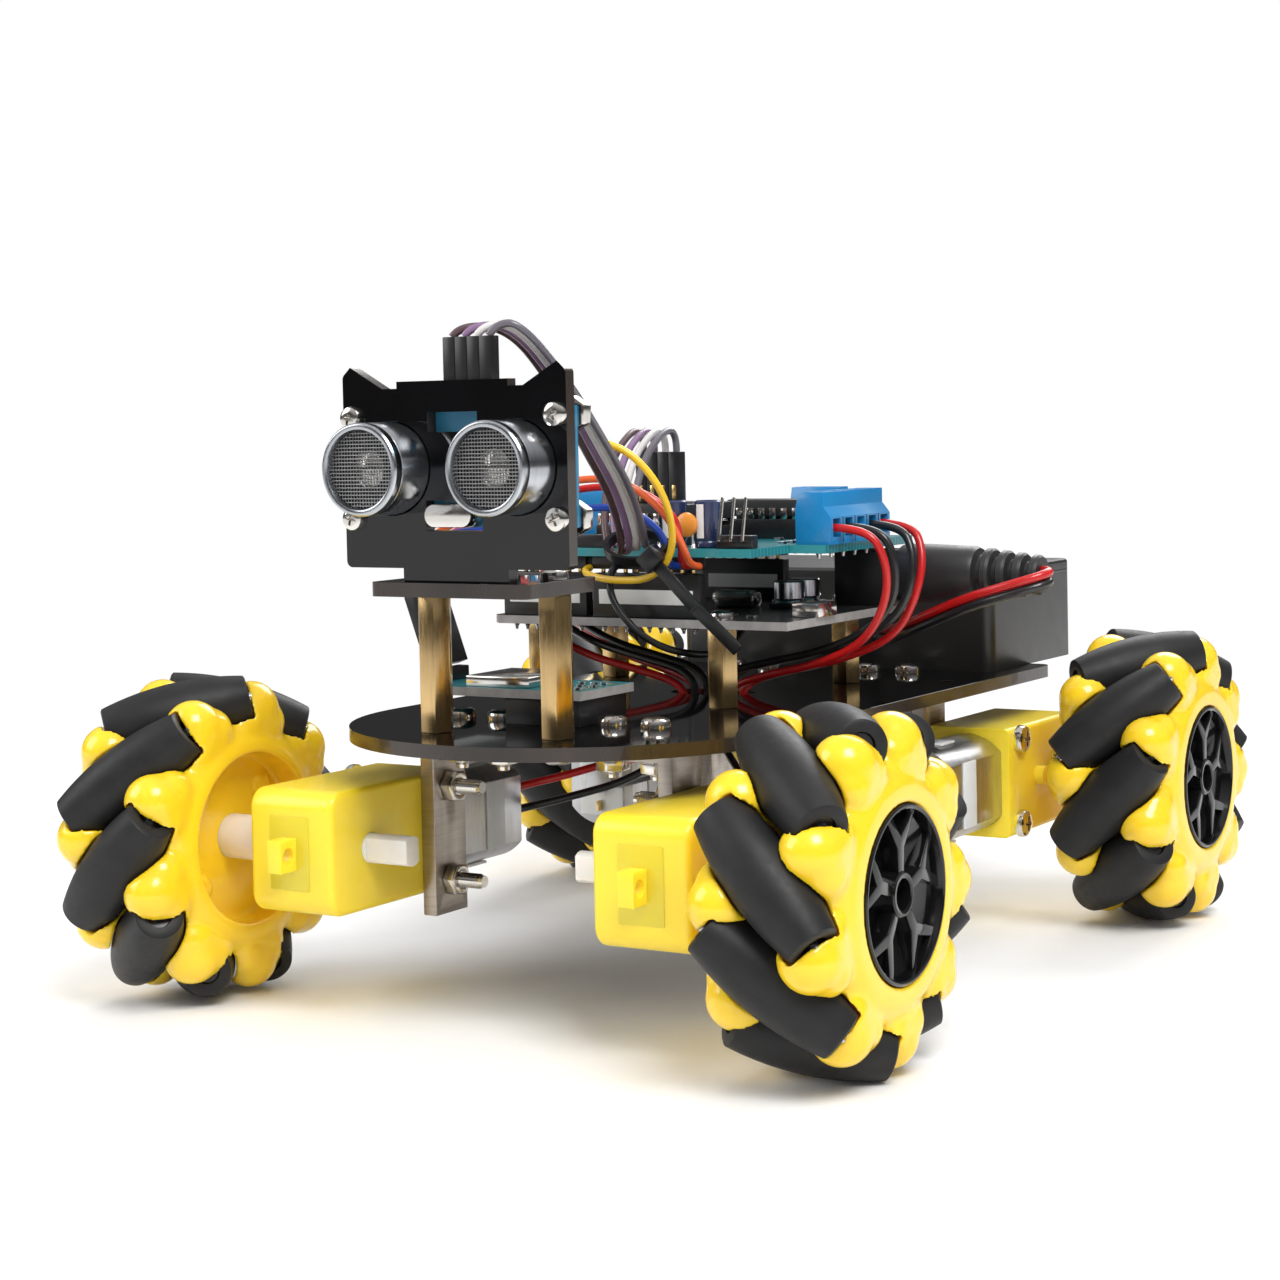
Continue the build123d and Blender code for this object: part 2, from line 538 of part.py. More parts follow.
# ---- ultrasonic sensor and its bracket ----
def face_plate():
    """Black sensor plate with two points at the top and a tab into the base plate."""
    half, top, low = 23.3, 112.3, 81.3
    right = [(11.6, top + 1.2), (11.6, top), (14.7, top), (21.6, 116.2), (half, 114.6), (half, low)]
    right += [(TAB_HALF, low), (TAB_HALF, SENSOR_PLATE_Z)]
    left = [(-x, z) for x, z in reversed(right)]
    outline = make_face(Polyline(*right, *left, close=True))
    columns = outline.vertices().group_by(Axis.X)
    outline = fillet(columns[0] + columns[-1], 1.2)
    plane = Plane(origin=(0, FACE_PLATE_Y + ACRYLIC, 0), x_dir=(1, 0, 0), z_dir=(0, -1, 0))
    plate = plane * extrude(outline, ACRYLIC)
    back = FACE_PLATE_Y + ACRYLIC + 1
    for x in (-TRANSDUCER_X, TRANSDUCER_X):
        plate -= rod((x, FACE_PLATE_Y - 1, TRANSDUCER_Z), (x, back, TRANSDUCER_Z), TRANSDUCER_R + 0.25)
    for x, z in SENSOR_SCREWS:
        plate -= rod((x, FACE_PLATE_Y - 1, z), (x, back, z), M3_HOLE_R)
    plate -= block(-5.2, 5.2, FACE_PLATE_Y - 1, back, 104.7, 108.1)
    return plate - block(-6.0, 6.0, FACE_PLATE_Y - 1, back, 87.8, 93.0)


def base_plate():
    """Acrylic shelf on the two long standoffs, slotted for the face plate's tab."""
    z1 = SENSOR_PLATE_Z + ACRYLIC
    plate = block(-16.5, 16.5, -84.2, -62.0, SENSOR_PLATE_Z, z1)
    plate = fillet(plate.edges().filter_by(Axis.Z), 1.5)
    slot = block(-TAB_HALF - 0.1, TAB_HALF + 0.1, FACE_PLATE_Y - 0.1, SENSOR_PCB_Y, 70, 90)
    plate -= slot
    for x, y in PILLARS:
        plate -= rod((x, y, SENSOR_PLATE_Z - 1), (x, y, z1 + 1), M3_HOLE_R)
    return plate


def sonar_board():
    """Sensor board, its crystal can, and the pin header with the plug-in wire housing."""
    z0, z1 = TRANSDUCER_Z - 10.3, TRANSDUCER_Z + 10.2
    back = SENSOR_PCB_Y + PCB
    pcb = block(-22.8, 22.8, SENSOR_PCB_Y, back, z0, z1)
    for x, z in SENSOR_SCREWS:
        pcb -= rod((x, SENSOR_PCB_Y - 1, z), (x, back + 1, z), STANDOFF_BORE_R)
    can_plane = Plane(origin=(-0.8, SENSOR_PCB_Y, 90.4), x_dir=(1, 0, 0), z_dir=(0, -1, 0))
    crystal = can_plane * extrude(SlotOverall(9.8, 4.0), 3.6)
    header = block(-5.1, 5.1, back, back + 2.5, z1 - 3.0, z1 - 0.5)
    housing = block(-5.1, 5.1, back, back + 2.6, z1 - 0.5, SONAR_PLUG_TOP)
    return [pcb, crystal, header, housing]


def transducer(x):
    """One aluminium transducer can, open in front of its mesh."""
    can = rod((x, TRANSDUCER_RIM_Y, TRANSDUCER_Z), (x, SENSOR_PCB_Y, TRANSDUCER_Z), TRANSDUCER_R)
    mouth = rod((x, TRANSDUCER_RIM_Y - 1, TRANSDUCER_Z), (x, TRANSDUCER_RIM_Y + 1.2, TRANSDUCER_Z), 6.7)
    return can - mouth


# ---- wireless board, battery and power plug ----
def wireless_module():
    """Small board on a foam pad, with a wire housing leaning over its right-hand end."""
    x0, x1, y0, y1 = -26.0, 9.0, -57.0, -39.0
    bottom = DECK_TOP + 4.9
    pcb = block(x0, x1, y0, y1, bottom, bottom + PCB)
    pad = block(-8.0, 8.0, y0 + 1.0, y1 - 1.0, DECK_TOP, bottom)
    top = bottom + PCB
    shield_can = block(-17.0, -3.0, y0 + 1.5, y1 - 1.5, top, top + 2.0)
    pins = block(x0 - 1.5, x0 + 1.0, MODULE_PLUG_Y - 5.1, MODULE_PLUG_Y + 5.1, top, top + 2.5)
    housing = extrude(Rectangle(2.6, 10.2), MODULE_PLUG_LENGTH)
    foot = Pos(x0 - 0.4, MODULE_PLUG_Y, top + 3.1)
    return [pcb, pad, shield_can, pins, foot * Rot(0, -MODULE_PLUG_LEAN, 0) * housing]


def battery_box():
    """Battery box: tray, lid and the two cells lying across the robot inside."""
    w, y0, y1 = BATTERY_HALF_WIDTH, BATTERY_FRONT_Y, BATTERY_REAR_Y
    lid_z = BATTERY_TOP - 1.5
    tray = block(-w, w, y0, y1, DECK_TOP, lid_z)
    tray = fillet(tray.edges().filter_by(Axis.Z), 2.5)
    tray -= block(-w + 1.8, w - 1.8, y0 + 1.6, y1 - 1.6, DECK_TOP + 1.5, BATTERY_TOP)
    for x in (-BATTERY_SCREW_X, BATTERY_SCREW_X):
        tray -= rod((x, BATTERY_SCREW_Y, DECK_TOP - 1), (x, BATTERY_SCREW_Y, DECK_TOP + 2), M3_HOLE_R)
    lid = block(-w, w, y0, y1, lid_z, BATTERY_TOP)
    lid = fillet(lid.edges().filter_by(Axis.Z), 2.5)
    lid = fillet(lid.edges().group_by(Axis.Z)[-1], 0.8)
    cells = []
    for y in (y0 + 11.5, y1 - 11.5):
        z = DECK_TOP + 1.6 + CELL_R
        cells.append(rod((-CELL_LENGTH / 2, y, z), (CELL_LENGTH / 2, y, z), CELL_R))
    return [tray, lid, *cells]


def dc_plug():
    """Barrel plug with a ribbed strain relief, pushed into the controller board's jack."""
    x = JACK_FACE_X + 0.3
    side = [(x - 8.5, 0), (x - 8.5, 2.7), (x, 2.7), (x, 5.9), (x + PLUG_BODY, 5.5)]
    for i in range(PLUG_RIBS):
        groove = x + PLUG_BODY + i * PLUG_RIB_PITCH
        rib_r = 5.2 - 0.4 * i
        side += [(groove + 0.1, rib_r - 1.2), (groove + 1.2, rib_r - 1.2), (groove + 1.3, rib_r)]
        side += [(groove + PLUG_RIB_PITCH, rib_r - 0.2)]
    side += [(PLUG_END_X, 0)]
    body = revolve(Plane.XY * make_face(Polyline(*side, close=True)), Axis.X)
    return Pos(0, JACK_Y, PLUG_Z) * body


# ---- wiring ----
def wire(diameter, *route):
    """A wire along straight runs, each corner rounded as far as its two runs allow."""
    points = [Vector(*point) for point in route]
    runs = [after - before for before, after in zip(points, points[1:])]
    radii = []
    for before, after in zip(runs, runs[1:]):
        half_turn = radians(before.get_angle(after)) / 2
        radii.append(0.45 * min(before.length, after.length) / tan(half_turn))
    path = FilletPolyline(*points, radius=radii)
    tube = sweep(Plane(origin=path @ 0, z_dir=path % 0) * Circle(diameter / 2), path=path)
    share = tube.volume / (pi * diameter**2 / 4 * path.length)
    print(f"wire {path.length:6.1f} long, tightest {min(radii):5.2f}, volume {share:.4f}")
    return tube


def motor_lead(side, end, first):
    """One lead from a motor, up through the deck's slot and out to the shield's terminal."""
    hole_x, hole_y = (6.0, 1.5) if first else (3.5, 1.5)
    if side < 0:
        hole_x = -hole_x + 2.0
    if end > 0:
        hole_y = 6.5
    can_y = end * CAN_END_Y
    can_z = 33.5 if first else 29.0
    turn_z = 53.2 if first else 55.6
    pole = 0.5 if first else 1.5
    pole_y = TERMINAL_FRONT_Y + (pole if end < 0 else 5 - pole) * TERMINAL_PITCH
    span_y = LEAD_SPAN_Y[(end, first)]
    mouth_x = LEFT_TERMINAL_X if side > 0 else RIGHT_TERMINAL_X
    out_x = mouth_x + side * 9.0
    mouth_z = SHIELD_TOP + TERMINAL_MOUTH_Z
    return wire(
        MOTOR_LEAD_D,
        (side * (GEARBOX_MID_X - 5), can_y, can_z),
        (side * (GEARBOX_MID_X - 5.5), can_y - end * 4, can_z + 0.3),
        (side * 24, can_y - end * 8.5, can_z + 2),
        (side * 12 + hole_x / 3, hole_y + end * 6, can_z + 5.5),
        (hole_x + side * 0.5, hole_y + end * 1.2, 43),
        (hole_x, hole_y, 48.5),
        (hole_x + side * 0.6, hole_y, turn_z),
        (side * 15, hole_y + (span_y - hole_y) * 0.3, turn_z + 2.6),
        (side * 26, hole_y + (span_y - hole_y) * 0.7, turn_z + 4.8),
        (side * 36.5, span_y, turn_z + 9.5),
        (out_x, span_y + 0.5, 71),
        (out_x + side * 0.5, (span_y + pole_y) / 2 + 0.2, 79),
        (mouth_x + side * 6.0, pole_y, mouth_z + 0.2),
        (mouth_x - side * 3.5, pole_y, mouth_z),
    )


def sonar_lead(index):
    """One sensor lead: over the face plate, down in front of the boards, up to the shield."""
    spread = index - 1.5
    start_x = 0.4 + spread * 2.54
    tower_x = TOWER_X + spread * 2.54
    return wire(
        JUMPER_D,
        (start_x, SONAR_PLUG_Y, SONAR_PLUG_TOP),
        (start_x + 1.2, SONAR_PLUG_Y + 0.6, SONAR_PLUG_TOP + 2.0),
        (7.0 + 1.7 * spread, -72.0 - 1.2 * spread, SONAR_PLUG_TOP + 1.4 + 0.2 * index),
        (12.0 + 1.7 * spread, -66.0 - 0.8 * spread, 113),
        (11.0 + 1.7 * spread, -55.0, 103),
        (8.0 + 1.7 * spread, -40.0, 92.5),
        (3.5 + 1.7 * spread, -28.5, 82),
        (0.0 + 1.7 * spread, -25.5 + 0.8 * spread, 79.5 + 1.2 * index),
        (-3.5 + 2.0 * spread, -24.2, 86),
        (-6.5 + 2.4 * spread, -15.0, 98),
        (tower_x, -4.5, 104.0),
        (tower_x, 0, 103.2),
        (tower_x, 0, TOWER_TOP),
    )


# From the left: over the sensor leads, then down into the front of the shield's headers.
MODULE_LEAD_ROUTES = [
    [
        (-19, -44.5, 95),
        (-5, -41, 102.5),
        (6.5, -37.5, 102),
        (13.5, -34, 93),
        (13, -29.5, 82),
        (7, -28, 76.2),
        (-1.5, -27.2, 75.6),
        (-9, -25.4, 76.4),
        (-12, -22.5, 77.4),
        (-12, BOARD_HEADER_FRONT_Y, 77.6),
    ],
    [
        (-20, -41.5, 90),
        (-7, -37.5, 95),
        (5, -35, 95.4),
        (12, -31.5, 89),
        (13.5, -27.5, 82),
        (12.5, -23.7, 78.4),
        (12.5, BOARD_HEADER_FRONT_Y, 78.2),
    ],
    [
        (-21, -39.5, 86),
        (-8, -34.5, 89.5),
        (3, -31.5, 90),
        (8.5, -28.5, 86),
        (9, -25.8, 81.5),
        (7.5, -23.2, 78.4),
        (7.5, BOARD_HEADER_FRONT_Y, 78.2),
    ],
    [
        (-21, -37.5, 88),
        (-8, -32.5, 93.5),
        (4, -29, 93.6),
        (11, -26.5, 88.5),
        (11, -24.2, 82.5),
        (10, -22.8, 78.6),
        (10, BOARD_HEADER_FRONT_Y, 78.2),
    ],
]


def module_lead(index):
    """One wireless board lead, from its leaning housing round to the front of the shield."""
    y = MODULE_PLUG_Y - 3.81 + 2.54 * index
    lean = radians(MODULE_PLUG_LEAN)
    top_x = -26.4 - MODULE_PLUG_LENGTH * sin(lean)
    top_z = DECK_TOP + 4.9 + PCB + 3.1 + MODULE_PLUG_LENGTH * cos(lean)
    return wire(
        JUMPER_D,
        (top_x, y, top_z),
        (top_x - 4.0 * sin(lean), y, top_z + 4.0 * cos(lean)),
        (top_x + 1.0, y + 0.8, top_z + 11),
        *MODULE_LEAD_ROUTES[index],
    )


def ground_lead():
    """The black lead that dips in front of the boards and goes back under them."""
    return wire(
        JUMPER_D,
        (-5.5, BOARD_HEADER_FRONT_Y, 78.2),
        (-5.5, -24.0, 77.5),
        (-3.5, -26.0, 71.0),
        (3.0, -23.5, 63.5),
        (9.0, -15.0, 60.5),
        (10.5, -5.0, 61.0),
        (9.5, 3.0, BOARD_BOTTOM - 0.7),
    )


def power_lead(offset):
    """One of the two leads from the power plug, back past the plug to the battery box."""
    return wire(
        POWER_LEAD_D,
        (PLUG_END_X, JACK_Y - 0.4, PLUG_Z + offset),
        (PLUG_END_X + 2.4, JACK_Y - 1.4, PLUG_Z + offset),
        (PLUG_END_X + 2.2, JACK_Y - 5.4, PLUG_Z - 0.6 + offset),
        (PLUG_END_X - 3.0, JACK_Y - 7.8, PLUG_Z - 2.2 + offset),
        (50.0, JACK_Y - 7.0, 69.3 + offset),
        (39.5, JACK_Y - 3.0, 65.3 + offset),
        (30.5, JACK_Y + 4.5, 62.3 + offset),
        (22.5, JACK_Y + 14.0, 60.6 + offset),
        (14.5, JACK_Y + 24.0, 60.6 + offset),
        (12.0, BATTERY_FRONT_Y, 61.2 + offset),
    )


def wiring():
    """All leads of the robot."""
    parts = [power_lead(-0.95), power_lead(0.95), ground_lead()]
    for side in (-1, 1):
        for end in (-1, 1):
            parts += [motor_lead(side, end, True), motor_lead(side, end, False)]
    parts += [sonar_lead(i) for i in range(4)]
    parts += [module_lead(i) for i in range(4)]
    return parts


# ---- write one file for each named piece ----
def write(name, parts):
    """Save a piece, with each of its solids kept apart."""
    if not isinstance(parts, list):
        parts = [parts]
    export_step(all_solids(*parts), f"parts/{name}.step")


def write_wheel(name, side, end, hand, phase):
    """Save a wheel's rollers, its hub with cap and pins, and its drive shaft."""
    # On the robot's right the wheel is turned half round, so +Y in the wheel is -Y here.
    barrel_shape = roller()
    for i in range(ROLLER_COUNT):
        placed = place_wheel(roller_plane(i, hand, phase) * barrel_shape, side, end)
        write(f"{name}_roller_{i + 1}", placed)
    hub_parts = [hub(hand, phase), hub_cap(), *roller_pins(hand, phase)]
    write(f"{name}_wheel_hub", [place_wheel(part, side, end) for part in hub_parts])
    write(f"{name}_drive_shaft", place_wheel(drive_shaft(), side, end))


os.makedirs("parts", exist_ok=True)
for wheel in WHEELS:
    write_wheel(*wheel)
write("chassis_plate", chassis_plate())
write("gearbox_housings", at_corners(gearbox_housing()))
write("motor_cans", at_corners(motor_can()))
write("motor_brackets", at_corners(motor_bracket()))
write("steel_fasteners", steel_fasteners())
write("brass_standoffs", brass_standoffs())
write("controller_board", controller_board())
write("motor_shield", motor_shield())
write("screw_terminals", screw_terminals())
write("sensor_plates", [face_plate(), base_plate()])
write("sonar_board", sonar_board())
write("sonar_transducers", [transducer(-TRANSDUCER_X), transducer(TRANSDUCER_X)])
write("wireless_module", wireless_module())
write("battery_box", battery_box())
write("dc_plug", dc_plug())
write("wiring", wiring())
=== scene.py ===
from math import cos, pi, radians, sin, sqrt, tan

import bmesh
import bpy
from mathutils import Matrix, Vector


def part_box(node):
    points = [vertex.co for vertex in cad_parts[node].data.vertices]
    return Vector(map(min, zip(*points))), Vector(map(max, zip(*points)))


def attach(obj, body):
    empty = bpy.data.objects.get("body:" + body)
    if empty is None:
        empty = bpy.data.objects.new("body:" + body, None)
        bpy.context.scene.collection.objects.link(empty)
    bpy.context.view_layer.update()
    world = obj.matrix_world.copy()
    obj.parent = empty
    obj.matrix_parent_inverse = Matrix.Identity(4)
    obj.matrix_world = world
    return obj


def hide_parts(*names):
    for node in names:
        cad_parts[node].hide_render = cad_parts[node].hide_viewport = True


# A four-wheel-drive robot on mecanum wheels. Pieces are built in millimetres and turned
# into metres when they are finished. +Z is up, the robot drives towards -Y.

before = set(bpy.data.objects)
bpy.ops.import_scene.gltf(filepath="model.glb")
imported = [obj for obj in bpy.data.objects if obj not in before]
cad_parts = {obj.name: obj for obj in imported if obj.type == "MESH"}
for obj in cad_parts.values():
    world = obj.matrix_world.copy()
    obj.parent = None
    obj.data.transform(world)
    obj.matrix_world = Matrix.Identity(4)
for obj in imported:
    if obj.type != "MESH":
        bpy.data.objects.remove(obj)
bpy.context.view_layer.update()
ROOT = "chassis"
MM = 0.001

# ---- driving dimensions, in millimetres ----
TRACK = 133.0
WHEELBASE = 143.4
WHEEL_R = 30.0
ROLLER_COUNT = 9
ROLLER_LENGTH = 27.0
ROLLER_OFFSET = 24.0
HUB_HALF_WIDTH = 12.75
LOBE_LEAD = 29.0
LOBE_R = 5.35
CAP_R = 14.45

DECK_TOP = 51.5
DECK_BOTTOM = 49.0
GEARBOX_INNER_X = 27.2
GEARBOX_OUTER_X = 46.0
GEARBOX_MID_X = 36.6
SHAFT_TO_NOSE = 11.3
SCREW_SPACING = 17.5
CAN_END_Y = 21.0
CAN_THICKNESS = 15.4
BRACKET_THICKNESS = 3.0
BRACKET_INNER_X = GEARBOX_INNER_X - BRACKET_THICKNESS
BRACKET_Y = 51.3
BRACKET_SCREW_X = (21.1, 11.9)

PCB = 1.6
PIN_PITCH = 2.54
BOARD_RIGHT_X = 31.6
BOARD_REAR_Y = 31.9
BOARD_FRONT_Y = BOARD_REAR_Y - 53.4
BOARD_BOTTOM = DECK_TOP + 15.0
BOARD_TOP = BOARD_BOTTOM + PCB
BOARD_HEADER_FRONT_Y = BOARD_REAR_Y - 52.07
BOARD_HOLES = [(16.3, -18.8), (17.6, 29.4), (-34.5, 24.3), (-34.5, -3.6)]
SOCKET_TOP = BOARD_TOP + 8.5
SHIELD_BOTTOM = SOCKET_TOP + 3.3
SHIELD_TOP = SHIELD_BOTTOM + PCB
SHIELD_CHIPS = [(-6.0, -7.5), (-6.0, 5.5), (8.0, 18.5)]
SHIELD_CAPACITORS = [(12.4, -16.4), (5.2, -16.9)]
TERMINAL_PITCH = 5.08
TERMINAL_FRONT_Y = -3.9
TERMINAL_MOUTH_Z = 3.15
LEFT_TERMINAL_X = 32.0
RIGHT_TERMINAL_X = -37.4
TOWER_X = -7.8
TOWER_TOP = 99.5
LEAD_SPAN_Y = {(-1, True): 1.0, (-1, False): 4.4, (1, True): 14.2, (1, False): 10.6}

ACRYLIC_T = 2.5
PILLARS = [(-12.8, -70.2), (12.8, -70.2)]
SENSOR_PLATE_Z = DECK_TOP + 25.0
FACE_PLATE_Y = -81.4
SENSOR_PCB_Y = FACE_PLATE_Y + ACRYLIC_T + 0.1
TRANSDUCER_X = 13.0
TRANSDUCER_Z = 98.57
TRANSDUCER_R = 8.0
TRANSDUCER_RIM_Y = -91.0
MESH_PITCH = 0.62
SENSOR_SCREW_X = 21.25
SENSOR_SCREW_Z = (TRANSDUCER_Z - 8.75, TRANSDUCER_Z + 8.75)
SONAR_PLUG_Y = SENSOR_PCB_Y + PCB + 1.3
SONAR_PLUG_TOP = 121.0

MOTOR_LEAD_D = 1.6
JUMPER_D = 1.4
POWER_LEAD_D = 1.8
MODULE_PLUG_Y = -48.0
MODULE_PLUG_LENGTH = 14.0
MODULE_PLUG_LEAN = 20.0
BATTERY_HALF_WIDTH = 37.5
BATTERY_FRONT_Y = 57.5
BATTERY_REAR_Y = 101.5
BATTERY_SCREW_X = 20.0
BATTERY_SCREW_Y = 70.0
JACK_FACE_X = BOARD_RIGHT_X + 1.8
JACK_Y = BOARD_REAR_Y - 7.8
PLUG_Z = BOARD_TOP + 6.3
PLUG_BODY = 16.7
PLUG_RIBS = 4
PLUG_RIB_PITCH = 3.2
PLUG_END_X = JACK_FACE_X + 0.3 + PLUG_BODY + PLUG_RIBS * PLUG_RIB_PITCH

# name, side (+1 is +X), end (-1 is the front), turn of the rollers, angle of the first one
WHEELS = [
    ("front_left", 1, -1, 1, 7.1),
    ("front_right", -1, -1, -1, 34.0),
    ("rear_left", 1, 1, -1, 25.5),
    ("rear_right", -1, 1, 1, 18.0),
]


def mm_box(node):
    """Lowest and highest corners of a CAD node, in millimetres."""
    low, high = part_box(node)
    return low / MM, high / MM


# ---- building pieces ----
def axis_frame(origin, axis, up=(0, 0, 1)):
    """A matrix at origin whose Z runs along axis, with its Y as near as can be to up."""
    z = Vector(axis).normalized()
    hint = Vector(up)
    if abs(z.dot(hint.normalized())) > 0.95:
        hint = Vector((0, 1, 0)) if abs(z.y) < 0.9 else Vector((1, 0, 0))
    x = hint.cross(z).normalized()
    y = z.cross(x)
    rotation = Matrix((x, y, z)).transposed().to_4x4()
    return Matrix.Translation(origin) @ rotation


class Piece:
    """One Blender piece, built in millimetres, each part of it in its own material."""

    def __init__(self, name, body=ROOT):
        self.name = name
        self.body = body
        self.bm = bmesh.new()
        self.materials = []

    def merge(self, part, material, matrix=None, smooth=True):
        """Take in a bmesh, in one material, and free it."""
        if material not in self.materials:
            self.materials.append(material)
        if matrix is not None:
            part.transform(matrix)
        index = self.materials.index(material)
        for face in part.faces:
            face.material_index = index
            face.smooth = smooth
        mesh = bpy.data.meshes.new("part")
        part.to_mesh(mesh)
        part.free()
        self.bm.from_mesh(mesh)
        bpy.data.meshes.remove(mesh)

    def box(self, x, y, z, material, bevel=0.12, matrix=None):
        """A box with rounded edges, between the low and high sides x, y and z."""
        part = bmesh.new()
        bmesh.ops.create_cube(part, size=1.0)
        size = Vector((x[1] - x[0], y[1] - y[0], z[1] - z[0]))
        middle = Vector((x[0] + x[1], y[0] + y[1], z[0] + z[1])) / 2
        bmesh.ops.scale(part, vec=size, verts=part.verts)
        bmesh.ops.translate(part, vec=middle, verts=part.verts)
        bevel = min(bevel, 0.3 * min(size))
        bmesh.ops.bevel(part, geom=part.edges[:], offset=bevel, segments=2, profile=0.5, affect="EDGES")
        self.merge(part, material, matrix)

    def turned(self, profile, material, origin=(0, 0, 0), axis=(0, 0, 1), segments=40, matrix=None):
        """A turned shape: profile is (radius, height) points from one end of the axis to the other."""
        part = bmesh.new()
        rings = []
        for radius, height in profile:
            if radius < 1e-6:
                rings.append([part.verts.new((0, 0, height))])
                continue
            ring = []
            for i in range(segments):
                turn = 2 * pi * i / segments
                ring.append(part.verts.new((radius * cos(turn), radius * sin(turn), height)))
            rings.append(ring)
        for low, high in zip(rings, rings[1:]):
            for i in range(segments):
                j = (i + 1) % segments
                corners = [low[i % len(low)], low[j % len(low)], high[j % len(high)], high[i % len(high)]]
                unique = list(dict.fromkeys(corners))
                if len(unique) > 2:
                    part.faces.new(unique)
        bmesh.ops.recalc_face_normals(part, faces=part.faces)
        self.merge(part, material, axis_frame(origin, axis) if matrix is None else matrix)

    def prism(self, outline, height, material, matrix=None, bevel=0.0):
        """A flat outline raised along Z, with rounded edges. Outline points are (x, y)."""
        part = bmesh.new()
        bottom = [part.verts.new((x, y, 0)) for x, y in outline]
        face = part.faces.new(bottom)
        raised = bmesh.ops.extrude_face_region(part, geom=[face])
        tops = [v for v in raised["geom"] if isinstance(v, bmesh.types.BMVert)]
        bmesh.ops.translate(part, vec=(0, 0, height), verts=tops)
        bmesh.ops.recalc_face_normals(part, faces=part.faces)
        if bevel > 0:
            bevel_sharp(part, bevel)
        self.merge(part, material, matrix)

    def bar(self, start, end, radius, material, segments=16, bevel=0.1):
        """A round bar between two points, its end edges rounded."""
        start, end = Vector(start), Vector(end)
        length = (end - start).length
        profile = [(0, 0), (radius - bevel, 0), (radius, bevel), (radius, length - bevel)]
        profile += [(radius - bevel, length), (0, length)]
        self.turned(profile, material, start, end - start, segments)

    def copy(self, mesh, material, matrix):
        """A ready mesh, placed by matrix."""
        part = bmesh.new()
        part.from_mesh(mesh)
        self.merge(part, material, matrix)

    def done(self, replaces=(), sharp=34):
        """Make the object, in metres, and let it ride on its body."""
        mesh = bpy.data.meshes.new(self.name)
        bmesh.ops.scale(self.bm, vec=(MM, MM, MM), verts=self.bm.verts)
        self.bm.to_mesh(mesh)
        self.bm.free()
        for material in self.materials:
            mesh.materials.append(material)
        mesh.set_sharp_from_angle(angle=radians(sharp))
        made = bpy.data.objects.new(self.name, mesh)
        return place(made, self.body, replaces)


def place(made, body, replaces=()):
    """Link an object, ride it on its body and let it stand for CAD nodes."""
    if not made.users_collection:
        bpy.context.scene.collection.objects.link(made)
    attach(made, body)
    if replaces:
        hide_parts(*replaces)
    return made


def bevel_sharp(part, width, angle=30, segments=2):
    """Round the sharp edges of a bmesh."""
    edges = [e for e in part.edges if e.is_manifold and e.calc_face_angle(0) > radians(angle)]
    if edges:
        bmesh.ops.bevel(part, geom=edges, offset=width, segments=segments, profile=0.5,
                        affect="EDGES", clamp_overlap=True)


def cad_solids(node):
    """The closed solids of a CAD node, each a bmesh in millimetres, in order of X, Y and Z."""
    whole = bmesh.new()
    whole.from_mesh(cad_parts[node].data)
    bmesh.ops.scale(whole, vec=(1 / MM, 1 / MM, 1 / MM), verts=whole.verts)
    bmesh.ops.remove_doubles(whole, verts=whole.verts, dist=0.002)
    seen, solids = set(), []
    for start in whole.verts:
        if start in seen:
            continue
        seen.add(start)
        island, border = [start], [start]
        while border:
            for edge in border.pop().link_edges:
                for vert in edge.verts:
                    if vert not in seen:
                        seen.add(vert)
                        island.append(vert)
                        border.append(vert)
        part = bmesh.new()
        new = {vert: part.verts.new(vert.co) for vert in island}
        for face in {face for vert in island for face in vert.link_faces}:
            part.faces.new([new[vert] for vert in face.verts])
        bmesh.ops.dissolve_limit(part, angle_limit=radians(0.6), verts=part.verts, edges=part.edges)
        solids.append(part)
    whole.free()
    solids.sort(key=lambda part: tuple(round(c, 1) for c in centre_of(part)))
    return solids


def centre_of(part):
    """Middle of a bmesh's bounding box."""
    corners = [v.co for v in part.verts]
    low = Vector([min(c[i] for c in corners) for i in range(3)])
    high = Vector([max(c[i] for c in corners) for i in range(3)])
    return (low + high) / 2


# ---- materials ----
def link(tree, source, target):
    """Join two sockets of a node tree."""
    tree.links.new(source, target)


def noise_node(tree, scale, detail=3.0, stretch=(1, 1, 1)):
    """A noise texture in the object's own space, its grain stretched along the axes."""
    place_in = tree.nodes.new("ShaderNodeTexCoord")
    mapping = tree.nodes.new("ShaderNodeMapping")
    mapping.inputs["Scale"].default_value = stretch
    noise = tree.nodes.new("ShaderNodeTexNoise")
    noise.inputs["Scale"].default_value = scale
    noise.inputs["Detail"].default_value = detail
    link(tree, place_in.outputs["Object"], mapping.inputs["Vector"])
    link(tree, mapping.outputs["Vector"], noise.inputs["Vector"])
    return noise


def ramp_node(tree, source, low, high, first, second):
    """A two-stop colour ramp over source."""
    ramp = tree.nodes.new("ShaderNodeValToRGB")
    ramp.color_ramp.elements[0].position = low
    ramp.color_ramp.elements[1].position = high
    ramp.color_ramp.elements[0].color = first
    ramp.color_ramp.elements[1].color = second
    link(tree, source, ramp.inputs["Fac"])
    return ramp


